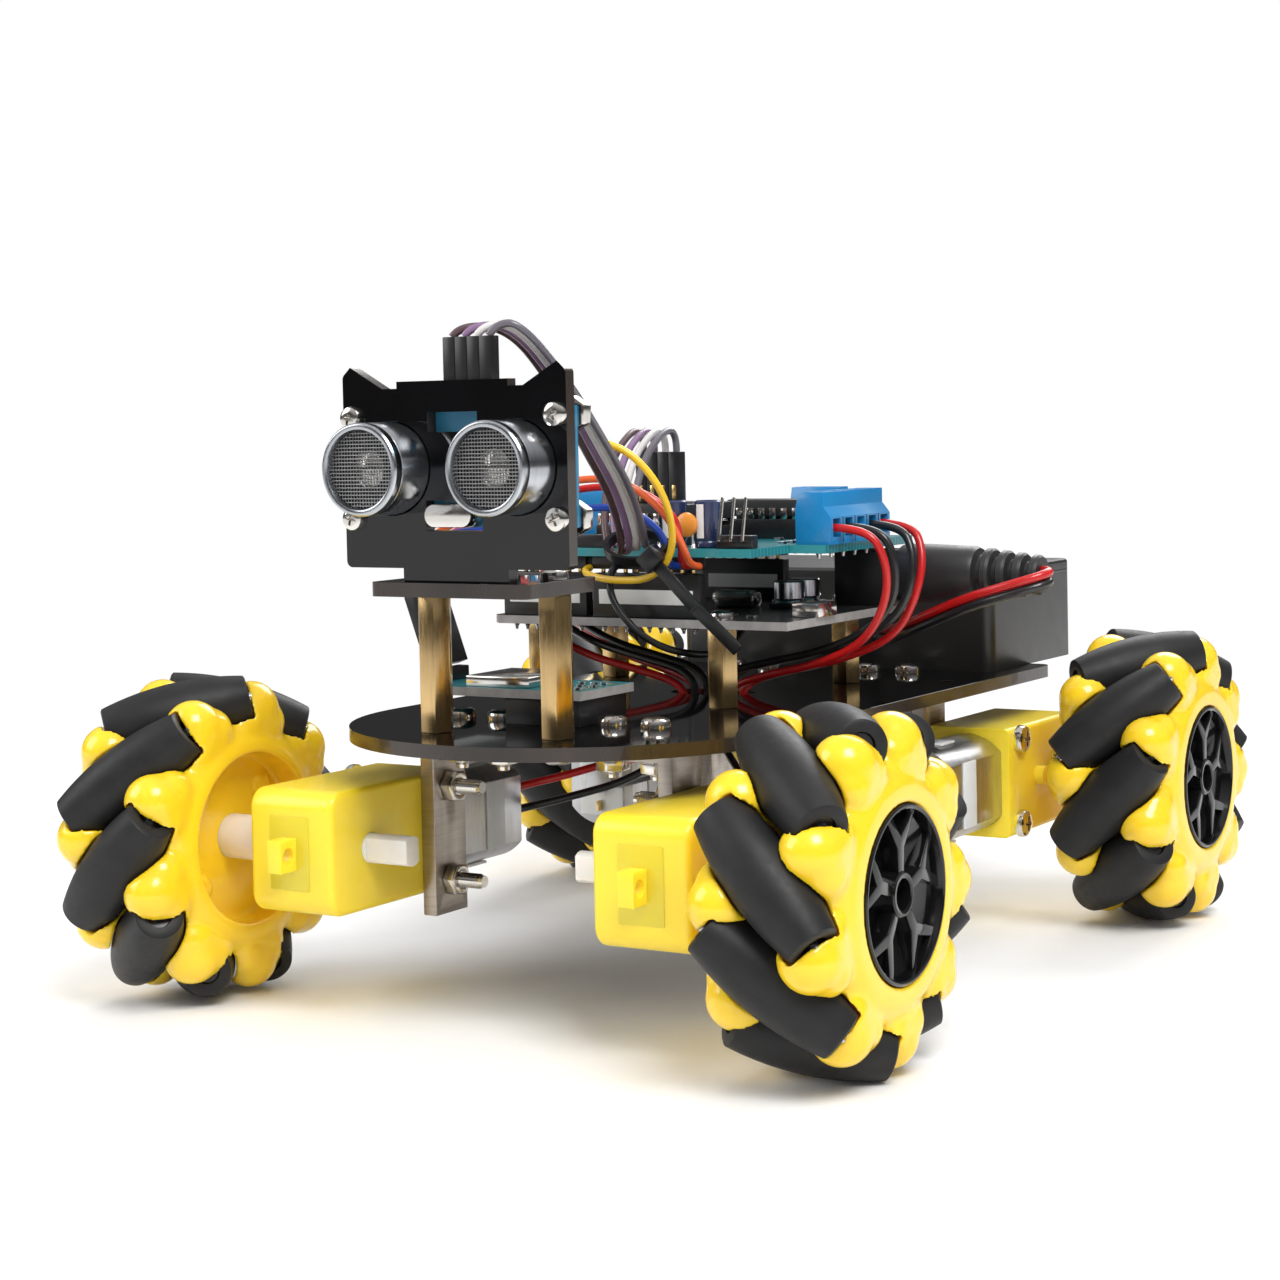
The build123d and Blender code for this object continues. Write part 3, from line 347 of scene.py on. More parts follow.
def surface(name, color, roughness, metallic=0.0, vary=0.06, scale=120, stretch=(1, 1, 1),
            rough_vary=0.06, grain=1800, bump=0.03, depth=0.00004, coat=0.0, ior=1.5, glow=0.0,
            glow_radius=(1.0, 0.4, 0.1)):
    """A procedural finish: mottled colour, uneven gloss and a fine grain in the surface."""
    material = bpy.data.materials.new(name)
    material.use_nodes = True
    tree = material.node_tree
    shader = tree.nodes["Principled BSDF"]
    dark = tuple(c * (1 - vary) for c in color) + (1,)
    light = tuple(min(1.0, c * (1 + vary)) for c in color) + (1,)
    mottle = noise_node(tree, scale, 4, stretch)
    tint = ramp_node(tree, mottle.outputs["Fac"], 0.3, 0.7, dark, light)
    link(tree, tint.outputs["Color"], shader.inputs["Base Color"])
    gloss = tree.nodes.new("ShaderNodeMapRange")
    gloss.inputs["To Min"].default_value = max(0.02, roughness - rough_vary)
    gloss.inputs["To Max"].default_value = min(1.0, roughness + rough_vary)
    wear = noise_node(tree, scale * 3, 5, stretch)
    link(tree, wear.outputs["Fac"], gloss.inputs["Value"])
    link(tree, gloss.outputs["Result"], shader.inputs["Roughness"])
    relief = tree.nodes.new("ShaderNodeBump")
    relief.inputs["Strength"].default_value = bump
    relief.inputs["Distance"].default_value = depth
    fine = noise_node(tree, grain, 2, stretch)
    link(tree, fine.outputs["Fac"], relief.inputs["Height"])
    link(tree, relief.outputs["Normal"], shader.inputs["Normal"])
    shader.inputs["Metallic"].default_value = metallic
    shader.inputs["IOR"].default_value = ior
    shader.inputs["Coat Weight"].default_value = coat
    shader.inputs["Coat Roughness"].default_value = 0.05
    shader.inputs["Subsurface Weight"].default_value = glow
    shader.inputs["Subsurface Radius"].default_value = glow_radius
    shader.inputs["Subsurface Scale"].default_value = 0.002
    return material


def circuit(name, mask, track):
    """Solder mask with lighter copper tracks showing through it."""
    material = surface(name, mask, 0.3, vary=0.1, scale=200, coat=0.25, grain=3000)
    tree = material.node_tree
    shader = tree.nodes["Principled BSDF"]
    plain = shader.inputs["Base Color"].links[0].from_socket
    place_in = tree.nodes.new("ShaderNodeTexCoord")
    tracks = tree.nodes.new("ShaderNodeTexBrick")
    tracks.inputs["Scale"].default_value = 190
    tracks.inputs["Mortar Size"].default_value = 0.045
    tracks.inputs["Brick Width"].default_value = 1.7
    tracks.offset = 0.35
    tracks.squash = 0.6
    tracks.inputs["Color1"].default_value = (0, 0, 0, 1)
    tracks.inputs["Color2"].default_value = (0, 0, 0, 1)
    tracks.inputs["Mortar"].default_value = (1, 1, 1, 1)
    link(tree, place_in.outputs["Object"], tracks.inputs["Vector"])
    mix = tree.nodes.new("ShaderNodeMix")
    mix.data_type = "RGBA"
    link(tree, tracks.outputs["Color"], mix.inputs["Factor"])
    link(tree, plain, mix.inputs["A"])
    mix.inputs["B"].default_value = track + (1,)
    link(tree, mix.outputs["Result"], shader.inputs["Base Color"])
    return material


HUB_YELLOW = surface("hub_yellow", (0.95, 0.62, 0.018), 0.24, vary=0.03, scale=60, coat=0.35, glow=0.25,
                     glow_radius=(1.0, 0.35, 0.05), grain=700, bump=0.05)
GEARBOX_YELLOW = surface("gearbox_yellow", (0.93, 0.7, 0.035), 0.34, vary=0.025, scale=50, coat=0.15,
                         glow=0.4, glow_radius=(1.0, 0.7, 0.15), grain=900, bump=0.06)
RUBBER = surface("roller_rubber", (0.014, 0.014, 0.015), 0.5, vary=0.16, scale=260, grain=2600, bump=0.3,
                 rough_vary=0.1, ior=1.36)
CAP_BLACK = surface("cap_black", (0.005, 0.005, 0.0055), 0.12, vary=0.2, coat=0.2, ior=1.42)
ACRYLIC = surface("acrylic_black", (0.003, 0.003, 0.0035), 0.05, vary=0.2, rough_vary=0.02,
                  grain=200, bump=0.004)
ACRYLIC_EDGE = surface("acrylic_edge", (0.026, 0.018, 0.014), 0.24, vary=0.5, scale=60,
                       stretch=(1, 1, 0.05), rough_vary=0.12, coat=0.3, grain=900, bump=0.25)
BRASS = surface("brass", (0.62, 0.43, 0.2), 0.22, metallic=1.0, vary=0.08, scale=150, stretch=(9, 9, 0.7),
                rough_vary=0.1, grain=2200, bump=0.12)
NICKEL = surface("nickel", (0.72, 0.69, 0.65), 0.16, metallic=1.0, vary=0.08, rough_vary=0.08,
                 grain=2500, bump=0.08)
STEEL = surface("pin_steel", (0.6, 0.6, 0.62), 0.2, metallic=1.0, vary=0.08)
ZINC_CAN = surface("zinc_can", (0.5, 0.5, 0.51), 0.3, metallic=1.0, vary=0.12, stretch=(1, 6, 1),
                   grain=2400, bump=0.12)
BRACKET_METAL = surface("bracket_metal", (0.42, 0.375, 0.335), 0.36, metallic=1.0, vary=0.1, scale=150,
                        stretch=(1, 1, 14), grain=1500, bump=0.35, rough_vary=0.1)
NYLON = surface("white_nylon", (0.8, 0.77, 0.73), 0.4, vary=0.04, scale=140, glow=0.5,
                glow_radius=(1.0, 0.7, 0.5), grain=1200, bump=0.08)
BATTERY_BLACK = surface("battery_black", (0.016, 0.0155, 0.015), 0.36, vary=0.12, grain=3200,
                        bump=0.22, scale=80)
PLUG_BLACK = surface("plug_black", (0.02, 0.02, 0.021), 0.42, vary=0.15, grain=2400, bump=0.2)
BLACK_PLASTIC = surface("black_plastic", (0.012, 0.012, 0.013), 0.32, vary=0.2, grain=2600, bump=0.12)
TERMINAL_BLUE = surface("terminal_blue", (0.008, 0.2, 0.46), 0.3, vary=0.05, coat=0.2, glow=0.15,
                        glow_radius=(0.1, 0.4, 1.0), grain=1500)
MASK_BLACK = circuit("board_black", (0.012, 0.012, 0.013), (0.035, 0.035, 0.036))
MASK_TEAL = circuit("board_teal", (0.012, 0.16, 0.19), (0.03, 0.26, 0.29))
MASK_BLUE = circuit("board_blue", (0.01, 0.12, 0.24), (0.03, 0.2, 0.34))
BOARD_EDGE = surface("board_edge", (0.3, 0.29, 0.28), 0.6, vary=0.15, scale=400, grain=3000, bump=0.3)
SOLDER = surface("solder", (0.7, 0.7, 0.71), 0.28, metallic=1.0, vary=0.12, scale=500)
GOLD = surface("contact_gold", (0.83, 0.6, 0.25), 0.25, metallic=1.0, vary=0.08)
CERAMIC_TAN = surface("capacitor_tan", (0.72, 0.27, 0.03), 0.35, vary=0.1, coat=0.3)
CHIP_BLACK = surface("chip_black", (0.018, 0.018, 0.019), 0.5, vary=0.15, grain=4000, bump=0.3)
SLEEVE_BLUE = surface("capacitor_sleeve", (0.02, 0.03, 0.09), 0.25, vary=0.15, coat=0.4)
LED_RED = surface("led_red", (0.55, 0.03, 0.02), 0.2, coat=0.5)
ALUMINIUM = surface("sensor_aluminium", (0.5, 0.52, 0.55), 0.2, metallic=1.0, vary=0.06, scale=90,
                    stretch=(1, 16, 1), rough_vary=0.08, grain=2600, bump=0.1)
MESH_METAL = surface("sensor_mesh", (0.2, 0.2, 0.2), 0.4, metallic=1.0, vary=0.1, scale=600)
# Matt near-black: painted shade in socket holes, screw slots, the chip's pin-one dimple and the sensor cans'
# floors, and also the printed band on the can capacitor's top.
PRINT_AND_PAINTED_SHADE_BLACK = surface("print_and_painted_shade_black", (0.01, 0.01, 0.01), 0.7)
CLEAR_STRAP = surface("strap_clear", (0.75, 0.75, 0.74), 0.3, vary=0.04, glow=0.6, glow_radius=(1, 0.9, 0.8))
LABEL_WHITE = surface("label_white", (0.75, 0.75, 0.73), 0.5, vary=0.05)
WIRE_COLOURS = {
    "red": (0.5, 0.008, 0.008), "black": (0.012, 0.012, 0.013), "yellow": (0.85, 0.52, 0.02),
    "blue": (0.015, 0.07, 0.45), "orange": (0.8, 0.13, 0.03), "grey": (0.12, 0.11, 0.13),
    "white": (0.6, 0.58, 0.57), "purple": (0.22, 0.13, 0.24), "brown": (0.09, 0.05, 0.055),
}
WIRE = {name: surface(f"wire_{name}", colour, 0.3, vary=0.08, coat=0.25, grain=900)
        for name, colour in WIRE_COLOURS.items()}


# ---- mecanum wheels, in the wheel's own frame: the axle is X, and +X points outwards ----
def rim_angle(s):
    """Angle round the wheel of the rim point that a roller touches s from its middle."""
    low, high = 0.0, radians(60)
    for _ in range(40):
        mid = (low + high) / 2
        if (ROLLER_OFFSET * tan(mid) + WHEEL_R * sin(mid)) / sqrt(2) < abs(s):
            low = mid
        else:
            high = mid
    return low


def barrel_radius(s):
    """Roller radius s from its middle, so that all rollers together touch one cylinder."""
    angle = rim_angle(s)
    square = (ROLLER_OFFSET * tan(angle)) ** 2 + (WHEEL_R * cos(angle) - ROLLER_OFFSET) ** 2
    return sqrt(square + (WHEEL_R * sin(angle)) ** 2 - s**2)


def barrel_profile(length, grow, steps=26):
    """Radius and height points along a roller's side."""
    points = []
    for i in range(steps + 1):
        share = i / steps - 0.5
        points.append((barrel_radius(share * ROLLER_LENGTH) + grow, share * length))
    return points


def roller_matrix(index, hand, phase):
    """Where a roller sits in its wheel: Z of the matrix is the roller's axis."""
    angle = radians(phase + index * 360 / ROLLER_COUNT)
    centre = (0, ROLLER_OFFSET * cos(angle), ROLLER_OFFSET * sin(angle))
    along = (1, -hand * sin(angle), hand * cos(angle))
    return axis_frame(centre, along, (0, cos(angle), sin(angle)))


def wheel_matrix(side, end):
    """From the wheel's frame to its corner of the robot: the right side is turned half round."""
    turn = Matrix.Rotation(0 if side > 0 else pi, 4, "Z")
    return Matrix.Translation((side * TRACK / 2, end * WHEELBASE / 2, WHEEL_R)) @ turn


def roller_mesh():
    """A rubber roller with rounded ends and a recessed bush at each end."""
    profile = barrel_profile(ROLLER_LENGTH - 0.5, 0.0)
    radius, half = profile[0][0], ROLLER_LENGTH / 2
    low_end = [(1.06, -half + 1.2), (2.1, -half + 1.2), (2.3, -half + 0.1), (radius - 0.45, -half)]
    high_end = [(r, -z) for r, z in reversed(low_end)]
    piece = Piece("roller_shape")
    piece.turned(low_end + profile + high_end, RUBBER, matrix=Matrix.Identity(4), segments=64)
    for low, high in ((half - 1.3, half - 0.75), (-half + 0.75, -half + 1.3)):
        bush = [(1.06, low), (2.05, low), (2.05, high), (1.06, high)]
        piece.turned(bush, BLACK_PLASTIC, matrix=Matrix.Identity(4))
    mesh = bpy.data.meshes.new("roller_shape")
    piece.bm.to_mesh(mesh)
    piece.bm.free()
    for material in piece.materials:
        mesh.materials.append(material)
    mesh.set_sharp_from_angle(angle=radians(40))
    return mesh


def scratch_object(piece):
    """The piece as an unlinked working object, still in millimetres."""
    mesh = bpy.data.meshes.new(piece.name)
    piece.bm.to_mesh(mesh)
    piece.bm.free()
    made = bpy.data.objects.new(piece.name, mesh)
    bpy.context.scene.collection.objects.link(made)
    return made


def apply_modifiers(made):
    """Put the modifiers' result into the object's own mesh."""
    bpy.context.view_layer.update()
    graph = bpy.context.evaluated_depsgraph_get()
    result = bpy.data.meshes.new_from_object(made.evaluated_get(graph))
    made.modifiers.clear()
    made.data = result


def remesh(made, voxel, rounds, strength=0.5):
    """Weld overlapping shapes into one skin and let it soften."""
    weld = made.modifiers.new("weld", "REMESH")
    weld.mode = "VOXEL"
    weld.voxel_size = voxel
    weld.use_smooth_shade = True
    soften = made.modifiers.new("soften", "SMOOTH")
    soften.factor = strength
    soften.iterations = rounds
    apply_modifiers(made)


def finger_profile(radius, length):
    """A capsule along Z: a hub lobe before it is cut round the rollers."""
    points = []
    for i in range(9):
        turn = pi / 2 * i / 8
        points.append((radius * sin(turn), -radius * cos(turn)))
    return points + [(r, length - z) for r, z in reversed(points)]


def hub_blank(hand, phase):
    """The moulding before it is cut: core, two discs and nine rounded fingers a side."""
    piece = Piece("hub_blank")
    edge = HUB_HALF_WIDTH
    core = [(0, -edge), (17.4, -edge), (17.4, edge), (0, edge)]
    piece.turned(core, HUB_YELLOW, axis=(1, 0, 0), segments=72)
    for side in (-1, 1):
        disc = [(0, 4.4), (20.8, 4.4), (22.0, 5.6), (22.0, 9.0), (20.4, 11.4), (17.6, edge), (0, edge)]
        piece.turned(disc, HUB_YELLOW, axis=(side, 0, 0), segments=72)
        for i in range(ROLLER_COUNT):
            angle = radians(phase + side * hand * LOBE_LEAD + i * 360 / ROLLER_COUNT)
            root = Vector((side * 6.4, 12.5 * cos(angle), 12.5 * sin(angle)))
            tip = Vector((side * 7.5, 23.9 * cos(angle), 23.9 * sin(angle)))
            piece.turned(finger_profile(LOBE_R, (tip - root).length), HUB_YELLOW, root, tip - root, 32)
            for lean, radius in ((-side * hand * 7, 5.2), (side * hand * 7, 4.4)):
                foot = angle + radians(lean)
                flank = Vector((side * (12.6 - radius), 21.4 * cos(foot), 21.4 * sin(foot)))
                piece.turned(finger_profile(radius, 0.5), HUB_YELLOW, flank, flank, 24)
    return scratch_object(piece)


def hub_cutters(hand, phase):
    """What is cut from the blank: roller spaces, cap seat, inner recess and four holes."""
    piece = Piece("hub_cutters")
    gap = barrel_profile(ROLLER_LENGTH + 0.5, 0.32, 16)
    half = gap[-1][1]
    for i in range(ROLLER_COUNT):
        here = roller_matrix(i, hand, phase)
        piece.turned([(0, -half)] + gap + [(0, half)], HUB_YELLOW, matrix=here, segments=40)
    out = HUB_HALF_WIDTH + 2
    cap_seat = [(0, 8.75), (CAP_R + 0.15, 8.75), (CAP_R + 0.15, out), (0, out)]
    piece.turned(cap_seat, HUB_YELLOW, axis=(1, 0, 0), segments=72)
    recess = [(0, 6.75), (15.2, 6.75), (15.6, 7.4), (16.0, out), (0, out)]
    piece.turned(recess, HUB_YELLOW, axis=(-1, 0, 0), segments=72)
    for i in range(4):
        angle = radians(45 + 90 * i)
        centre = (-7.5, 12.2 * cos(angle), 12.2 * sin(angle))
        piece.turned([(0, 0), (2.1, 0), (2.1, 12), (0, 12)], HUB_YELLOW, centre, (1, 0, 0), 24)
    return scratch_object(piece)


def wheel_hub(name, side, end, hand, phase):
    """The yellow moulding, the black cap in its outer side and the nine roller pins."""
    blank = hub_blank(hand, phase)
    remesh(blank, 0.55, 14)
    cutters = hub_cutters(hand, phase)
    cut = blank.modifiers.new("cut", "BOOLEAN")
    cut.operation = "DIFFERENCE"
    cut.solver = "FAST"
    cut.object = cutters
    apply_modifiers(blank)
    remesh(blank, 0.4, 2)
    piece = Piece(name + "_wheel_hub_moulding", name + "_wheel")
    place_here = wheel_matrix(side, end)
    piece.copy(blank.data, HUB_YELLOW, place_here)
    for scrap in (blank, cutters):
        bpy.data.objects.remove(scrap)
    piece.done((name + "_wheel_hub",), sharp=60)
    fittings = Piece(name + "_hub_cap", name + "_wheel")
    hub_cap(fittings, place_here)
    fittings.done()
    pins = Piece(name + "_roller_pins", name + "_wheel")
    pin = [(0, -14.3), (0.8, -14.3), (1.0, -14.1), (1.0, 14.1), (0.8, 14.3), (0, 14.3)]
    for i in range(ROLLER_COUNT):
        pins.turned(pin, STEEL, matrix=place_here @ roller_matrix(i, hand, phase), segments=16)
    pins.done()


def hub_cap(piece, place_here):
    """Glossy black cap: dished floor, thin rim, centre tube and broad forked spokes."""
    along = place_here @ axis_frame((0, 0, 0), (1, 0, 0))
    rim = [(0, 8.8), (CAP_R, 8.8), (CAP_R, 12.75), (CAP_R - 0.25, 12.97), (CAP_R - 0.5, 12.97)]
    rim += [(CAP_R - 0.8, 12.75), (CAP_R - 1.3, 10.8), (9.0, 9.5), (4.0, 9.2), (0, 9.2)]
    piece.turned(rim, CAP_BLACK, matrix=along, segments=72)
    tube = [(2.6, 9.1), (2.6, 12.2), (2.9, 12.4), (3.4, 12.4), (3.7, 12.1), (3.9, 9.1)]
    piece.turned(tube, CAP_BLACK, matrix=along, segments=48)
    fork = 7.4
    reach = CAP_R - 0.9
    for i in range(5):
        turn = along @ Matrix.Rotation(radians(72 * i + 18), 4, "Z")
        tips = [(reach * cos(radians(a)), reach * sin(radians(a))) for a in (22, 15, -15, -22)]
        outline = [(3.3, 1.0), (fork, 1.1), tips[0], tips[1], (fork + 1.9, 0)]
        outline += [tips[2], tips[3], (fork, -1.1), (3.3, -1.0)]
        raised = turn @ Matrix.Translation((0, 0, 9.3))
        piece.prism(outline, 2.7, CAP_BLACK, raised, 0.2)


def wheels():
    """All rollers, hubs and axle couplers."""
    shape = roller_mesh()
    for name, side, end, hand, phase in WHEELS:
        for i in range(ROLLER_COUNT):
            node = f"{name}_roller_{i + 1}"
            mesh = shape.copy()
            mesh.transform(Matrix.Scale(MM, 4) @ wheel_matrix(side, end) @ roller_matrix(i, hand, phase))
            made = bpy.data.objects.new(node + "_rubber", mesh)
            place(made, node, (node,))
        wheel_hub(name, side, end, hand, phase)
        coupler(name)


def coupler(name):
    """White drive shaft and coupler, as moulded, with its edges rounded."""
    piece = Piece(name + "_coupler", name + "_wheel")
    for solid in cad_solids(name + "_drive_shaft"):
        bevel_sharp(solid, 0.2)
        piece.merge(solid, NYLON)
    piece.done((name + "_drive_shaft",))


# ---- gear motors and brackets ----
def corner_sides():
    """The four corners as signs of X and Y."""
    return [(side, end) for side in (-1, 1) for end in (-1, 1)]


def gearboxes():
    """Yellow housings with rounded edges, a seam, a framed boss on the nose and rivet heads."""
    piece = Piece("gearbox_mouldings")
    for solid in cad_solids("gearbox_housings"):
        bevel_sharp(solid, 0.45, 32, 3)
        piece.merge(solid, GEARBOX_YELLOW)
    nose_y = WHEELBASE / 2 + SHAFT_TO_NOSE
    low_z, high_z = WHEEL_R - 11.2, WHEEL_R + 11.2
    for side, end in corner_sides():
        frame_here = Matrix.Diagonal((side, end, 1, 1))
        outer = GEARBOX_OUTER_X
        piece.box((outer - 13.6, outer - 4.8), (nose_y - 0.3, nose_y + 0.14), (low_z + 4.6, high_z - 4.6),
                  GEARBOX_YELLOW, 0.12, frame_here)
        for y in (nose_y - 4.6, nose_y - 33.5):
            for z in (low_z + 3.0, high_z - 3.0):
                centre = frame_here @ Vector((outer, y, z))
                piece.turned([(0, 0), (1.5, 0), (1.5, 0.2), (1.1, 0.45), (0, 0.5)], GEARBOX_YELLOW, centre,
                             (side, 0, 0), 24)
    piece.done(("gearbox_housings",))


def motors():
    """Motor cans with rolled ends, a white end bell, terminals and a clear strap."""
    piece = Piece("motor_bodies")
    for solid in cad_solids("motor_cans"):
        bevel_sharp(solid, 0.5, 32, 3)
        piece.merge(solid, ZINC_CAN)
    half = CAN_THICKNESS / 2
    for side, end in corner_sides():
        frame_here = Matrix.Diagonal((side, end, 1, 1))
        x, y = GEARBOX_MID_X, CAN_END_Y
        piece.box((x - 5.4, x + 5.4), (y - 0.5, y + 0.6), (WHEEL_R - 8.0, WHEEL_R + 8.0),
                  NYLON, 0.4, frame_here)
        for z in (WHEEL_R - 5.8, WHEEL_R + 5.8):
            piece.box((x - 0.3, x + 0.3), (y - 2.0, y + 0.4), (z - 1.1, z + 1.1), GOLD, 0.1, frame_here)
        for x0, x1 in ((x - half - 0.35, x - half + 0.25), (x + half - 0.25, x + half + 0.35)):
            piece.box((x0, x1), (y + 6, y + 12), (WHEEL_R - 6.6, WHEEL_R + 6.6), CLEAR_STRAP, 0.2, frame_here)
        for z0, z1 in ((WHEEL_R + 9.8, WHEEL_R + 10.35), (WHEEL_R - 10.35, WHEEL_R - 9.8)):
            piece.box((x - 3.4, x + 3.4), (y + 6, y + 12), (z0, z1), CLEAR_STRAP, 0.2, frame_here)
    piece.done(("motor_cans",))


def brackets():
    """Machined L brackets with lightly broken edges."""
    piece = Piece("motor_bracket_plates")
    for solid in cad_solids("motor_brackets"):
        bevel_sharp(solid, 0.22)
        piece.merge(solid, BRACKET_METAL)
    piece.done(("motor_brackets",))


# ---- acrylic plates ----
def sheet(piece, solid, finish, rim, normal=Vector((0, 0, 1)), smooth=True):
    """Take in a flat sheet: both faces in the material finish, its cut edge in rim."""
    solid.normal_update()
    on_edge = [abs(face.normal.dot(normal)) < 0.5 for face in solid.faces]
    before = len(piece.bm.faces)
    if rim not in piece.materials:
        piece.materials.append(rim)
    piece.merge(solid, finish, smooth=smooth)
    piece.bm.faces.ensure_lookup_table()
    for i, is_edge in enumerate(on_edge):
        if is_edge:
            piece.bm.faces[before + i].material_index = piece.materials.index(rim)


def acrylic_part(piece, solid, normal):
    """A cut acrylic plate: polished faces and edges that carry the cutter's fine lines."""
    bevel_sharp(solid, 0.12, 50, 1)
    sheet(piece, solid, ACRYLIC, ACRYLIC_EDGE, normal)


def plates():
    """The deck and the two sensor plates."""
    deck = Piece("deck_plate")
    for solid in cad_solids("chassis_plate"):
        acrylic_part(deck, solid, Vector((0, 0, 1)))
    deck.done(("chassis_plate",))
    sensor = Piece("sensor_mount_plates")
    for solid in cad_solids("sensor_plates"):
        corners = [v.co for v in solid.verts]
        depth = max(c.y for c in corners) - min(c.y for c in corners)
        normal = Vector((0, 1, 0)) if depth < 5 else Vector((0, 0, 1))
        acrylic_part(sensor, solid, normal)
    sensor.done(("sensor_plates",))


# ---- fasteners ----
def cross_head(radius, height):
    """A pan head with a cross recess, its flat side at Z 0 and its top at height."""
    piece = Piece("cross_head")
    dome = [(0, 0), (radius, 0), (radius, height * 0.45), (radius * 0.93, height * 0.75)]
    dome += [(radius * 0.72, height * 0.95), (radius * 0.5, height), (0, height)]
    piece.turned(dome, NICKEL, segments=40)
    head = scratch_object(piece)
    slots = Piece("cross_slots")
    reach, half = radius * 0.55, radius * 0.115
    slots.box((-reach, reach), (-half, half), (height - 1.1, height + 0.5), NICKEL, 0.04)
    slots.box((-half, half), (-reach, reach), (height - 1.12, height + 0.52), NICKEL, 0.04)
    cutters = scratch_object(slots)
    cut = head.modifiers.new("cut", "BOOLEAN")
    cut.object = cutters
    cut.use_self = True
    apply_modifiers(head)
    mesh = head.data
    for scrap in (head, cutters):
        bpy.data.objects.remove(scrap)
    return mesh


def thread_profile(radius, length, pitch=0.5):
    """A threaded shank as close rings, from Z 0 down to -length."""
    points = [(0, 0), (radius, 0), (radius, -0.6)]
    z = -0.8
    while z > -length + 0.6:
        points += [(radius, z), (radius - 0.22, z - pitch / 2)]
        z -= pitch
    return points + [(radius - 0.3, -length), (0, -length)]


def screw(piece, heads, seat, way, length, head_r=2.8, shank_r=1.42):
    """A cross-head screw: underside of its head at seat, shank along way."""
    outwards = axis_frame(seat, -Vector(way))
    spun = outwards @ Matrix.Rotation(seat[0] * 7 + seat[1] * 3, 4, "Z")
    if head_r not in heads:
        heads[head_r] = cross_head(head_r, 0.68 * head_r)
    piece.copy(heads[head_r], NICKEL, spun)
    piece.turned(thread_profile(shank_r, length), NICKEL, matrix=outwards, segments=20)


def nut(piece, seat, way):
    """A hex nut with chamfered corners, seated on a face and standing along way."""
    outline = [(3.175 * cos(pi * i / 3), 3.175 * sin(pi * i / 3)) for i in range(6)]
    here = axis_frame(seat, way) @ Matrix.Rotation(seat[0] + seat[1], 4, "Z")
    piece.prism(outline, 2.4, NICKEL, here, 0.3)
    lip = [(1.55, 2.3), (2.45, 2.3), (2.45, 2.48), (1.75, 2.48), (1.55, 2.35)]
    piece.turned(lip, NICKEL, matrix=here, segments=32)


def standoffs():
    """Brass hex standoffs with turned ends."""
    piece = Piece("brass_hex_standoffs")
    for solid in cad_solids("brass_standoffs"):
        bevel_sharp(solid, 0.28, 20)
        piece.merge(solid, BRASS)
    piece.done(("brass_standoffs",), sharp=25)


def fasteners():
    """Every screw and nut, where the CAD has it."""
    piece = Piece("screws_and_nuts")
    heads = {}
    for side, end in corner_sides():
        y = end * BRACKET_Y
        for z in (WHEEL_R - SCREW_SPACING / 2, WHEEL_R + SCREW_SPACING / 2):
            screw(piece, heads, (side * GEARBOX_OUTER_X, y, z), (-side, 0, 0), 29.3)
            nut(piece, (side * BRACKET_INNER_X, y, z), (-side, 0, 0))
        for x in BRACKET_SCREW_X:
            screw(piece, heads, (side * x, y, DECK_TOP), (0, 0, -1), 9.2)
            nut(piece, (side * x, y, DECK_BOTTOM - BRACKET_THICKNESS), (0, 0, -1))
    for x, y in BOARD_HOLES:
        screw(piece, heads, (x, y, DECK_BOTTOM), (0, 0, 1), 7.0, shank_r=1.25)
        screw(piece, heads, (x, y, BOARD_TOP), (0, 0, -1), 6.0, 2.5, 1.25)
    for x, y in PILLARS:
        screw(piece, heads, (x, y, DECK_BOTTOM), (0, 0, 1), 7.0, shank_r=1.25)
        screw(piece, heads, (x, y, SENSOR_PLATE_Z + ACRYLIC_T), (0, 0, -1), 7.0, 2.5, 1.25)
    for x in (-SENSOR_SCREW_X, SENSOR_SCREW_X):
        for z in SENSOR_SCREW_Z:
            screw(piece, heads, (x, FACE_PLATE_Y, z), (0, 1, 0), 7.4, 2.1, 1.25)
            nut(piece, (x, SENSOR_PCB_Y + PCB, z), (0, 1, 0))
    for x in (-BATTERY_SCREW_X, BATTERY_SCREW_X):
        screw(piece, heads, (x, BATTERY_SCREW_Y, DECK_BOTTOM), (0, 0, 1), 3.9, shank_r=1.25)
    piece.done(("steel_fasteners",))


# ---- circuit boards ----
def header_rows():
    """Left end, right end and middle line of the four header rows."""
    rows = []
    for x0, x1, y in ((19.2, 43.2, 50.8), (44.6, 64.0, 50.8), (27.2, 46.6, 2.6), (49.6, 64.0, 2.6)):
        rows.append((BOARD_RIGHT_X - x1, BOARD_RIGHT_X - x0, BOARD_REAR_Y - y))
    return rows


def pin_places(left, right):
    """X of each contact of a header row, 2.54 apart and centred in it."""
    count = int((right - left) / PIN_PITCH + 0.01)
    first = (left + right) / 2 - (count - 1) * PIN_PITCH / 2
    return [first + i * PIN_PITCH for i in range(count)]


def resistor(piece, x, y, z, turn=0.0, size=(2.0, 1.25, 0.5), material=None):
    """A surface-mount part with silver end caps."""
    here = Matrix.Translation((x, y, z)) @ Matrix.Rotation(turn, 4, "Z")
    length, width, height = size
    middle = (-length / 2 + 0.35, length / 2 - 0.35)
    piece.box(middle, (-width / 2, width / 2), (0, height), material or CHIP_BLACK, 0.05, here)
    for side in (-1, 1):
        ends = sorted((side * length / 2, side * (length / 2 - 0.4)))
        piece.box(ends, (-width / 2 - 0.02, width / 2 + 0.02), (0, height + 0.03), SOLDER, 0.06, here)


def solder_bumps(piece, places, z, down=True):
    """Small solder cones with a clipped lead, on a board face."""
    way = -1 if down else 1
    cone = [(0.85, 0), (0.62, 0.25), (0.36, 0.7), (0.3, 1.25), (0, 1.35)]
    for x, y in places:
        piece.turned(cone, SOLDER, (x, y, z), (0, 0, way), 14)


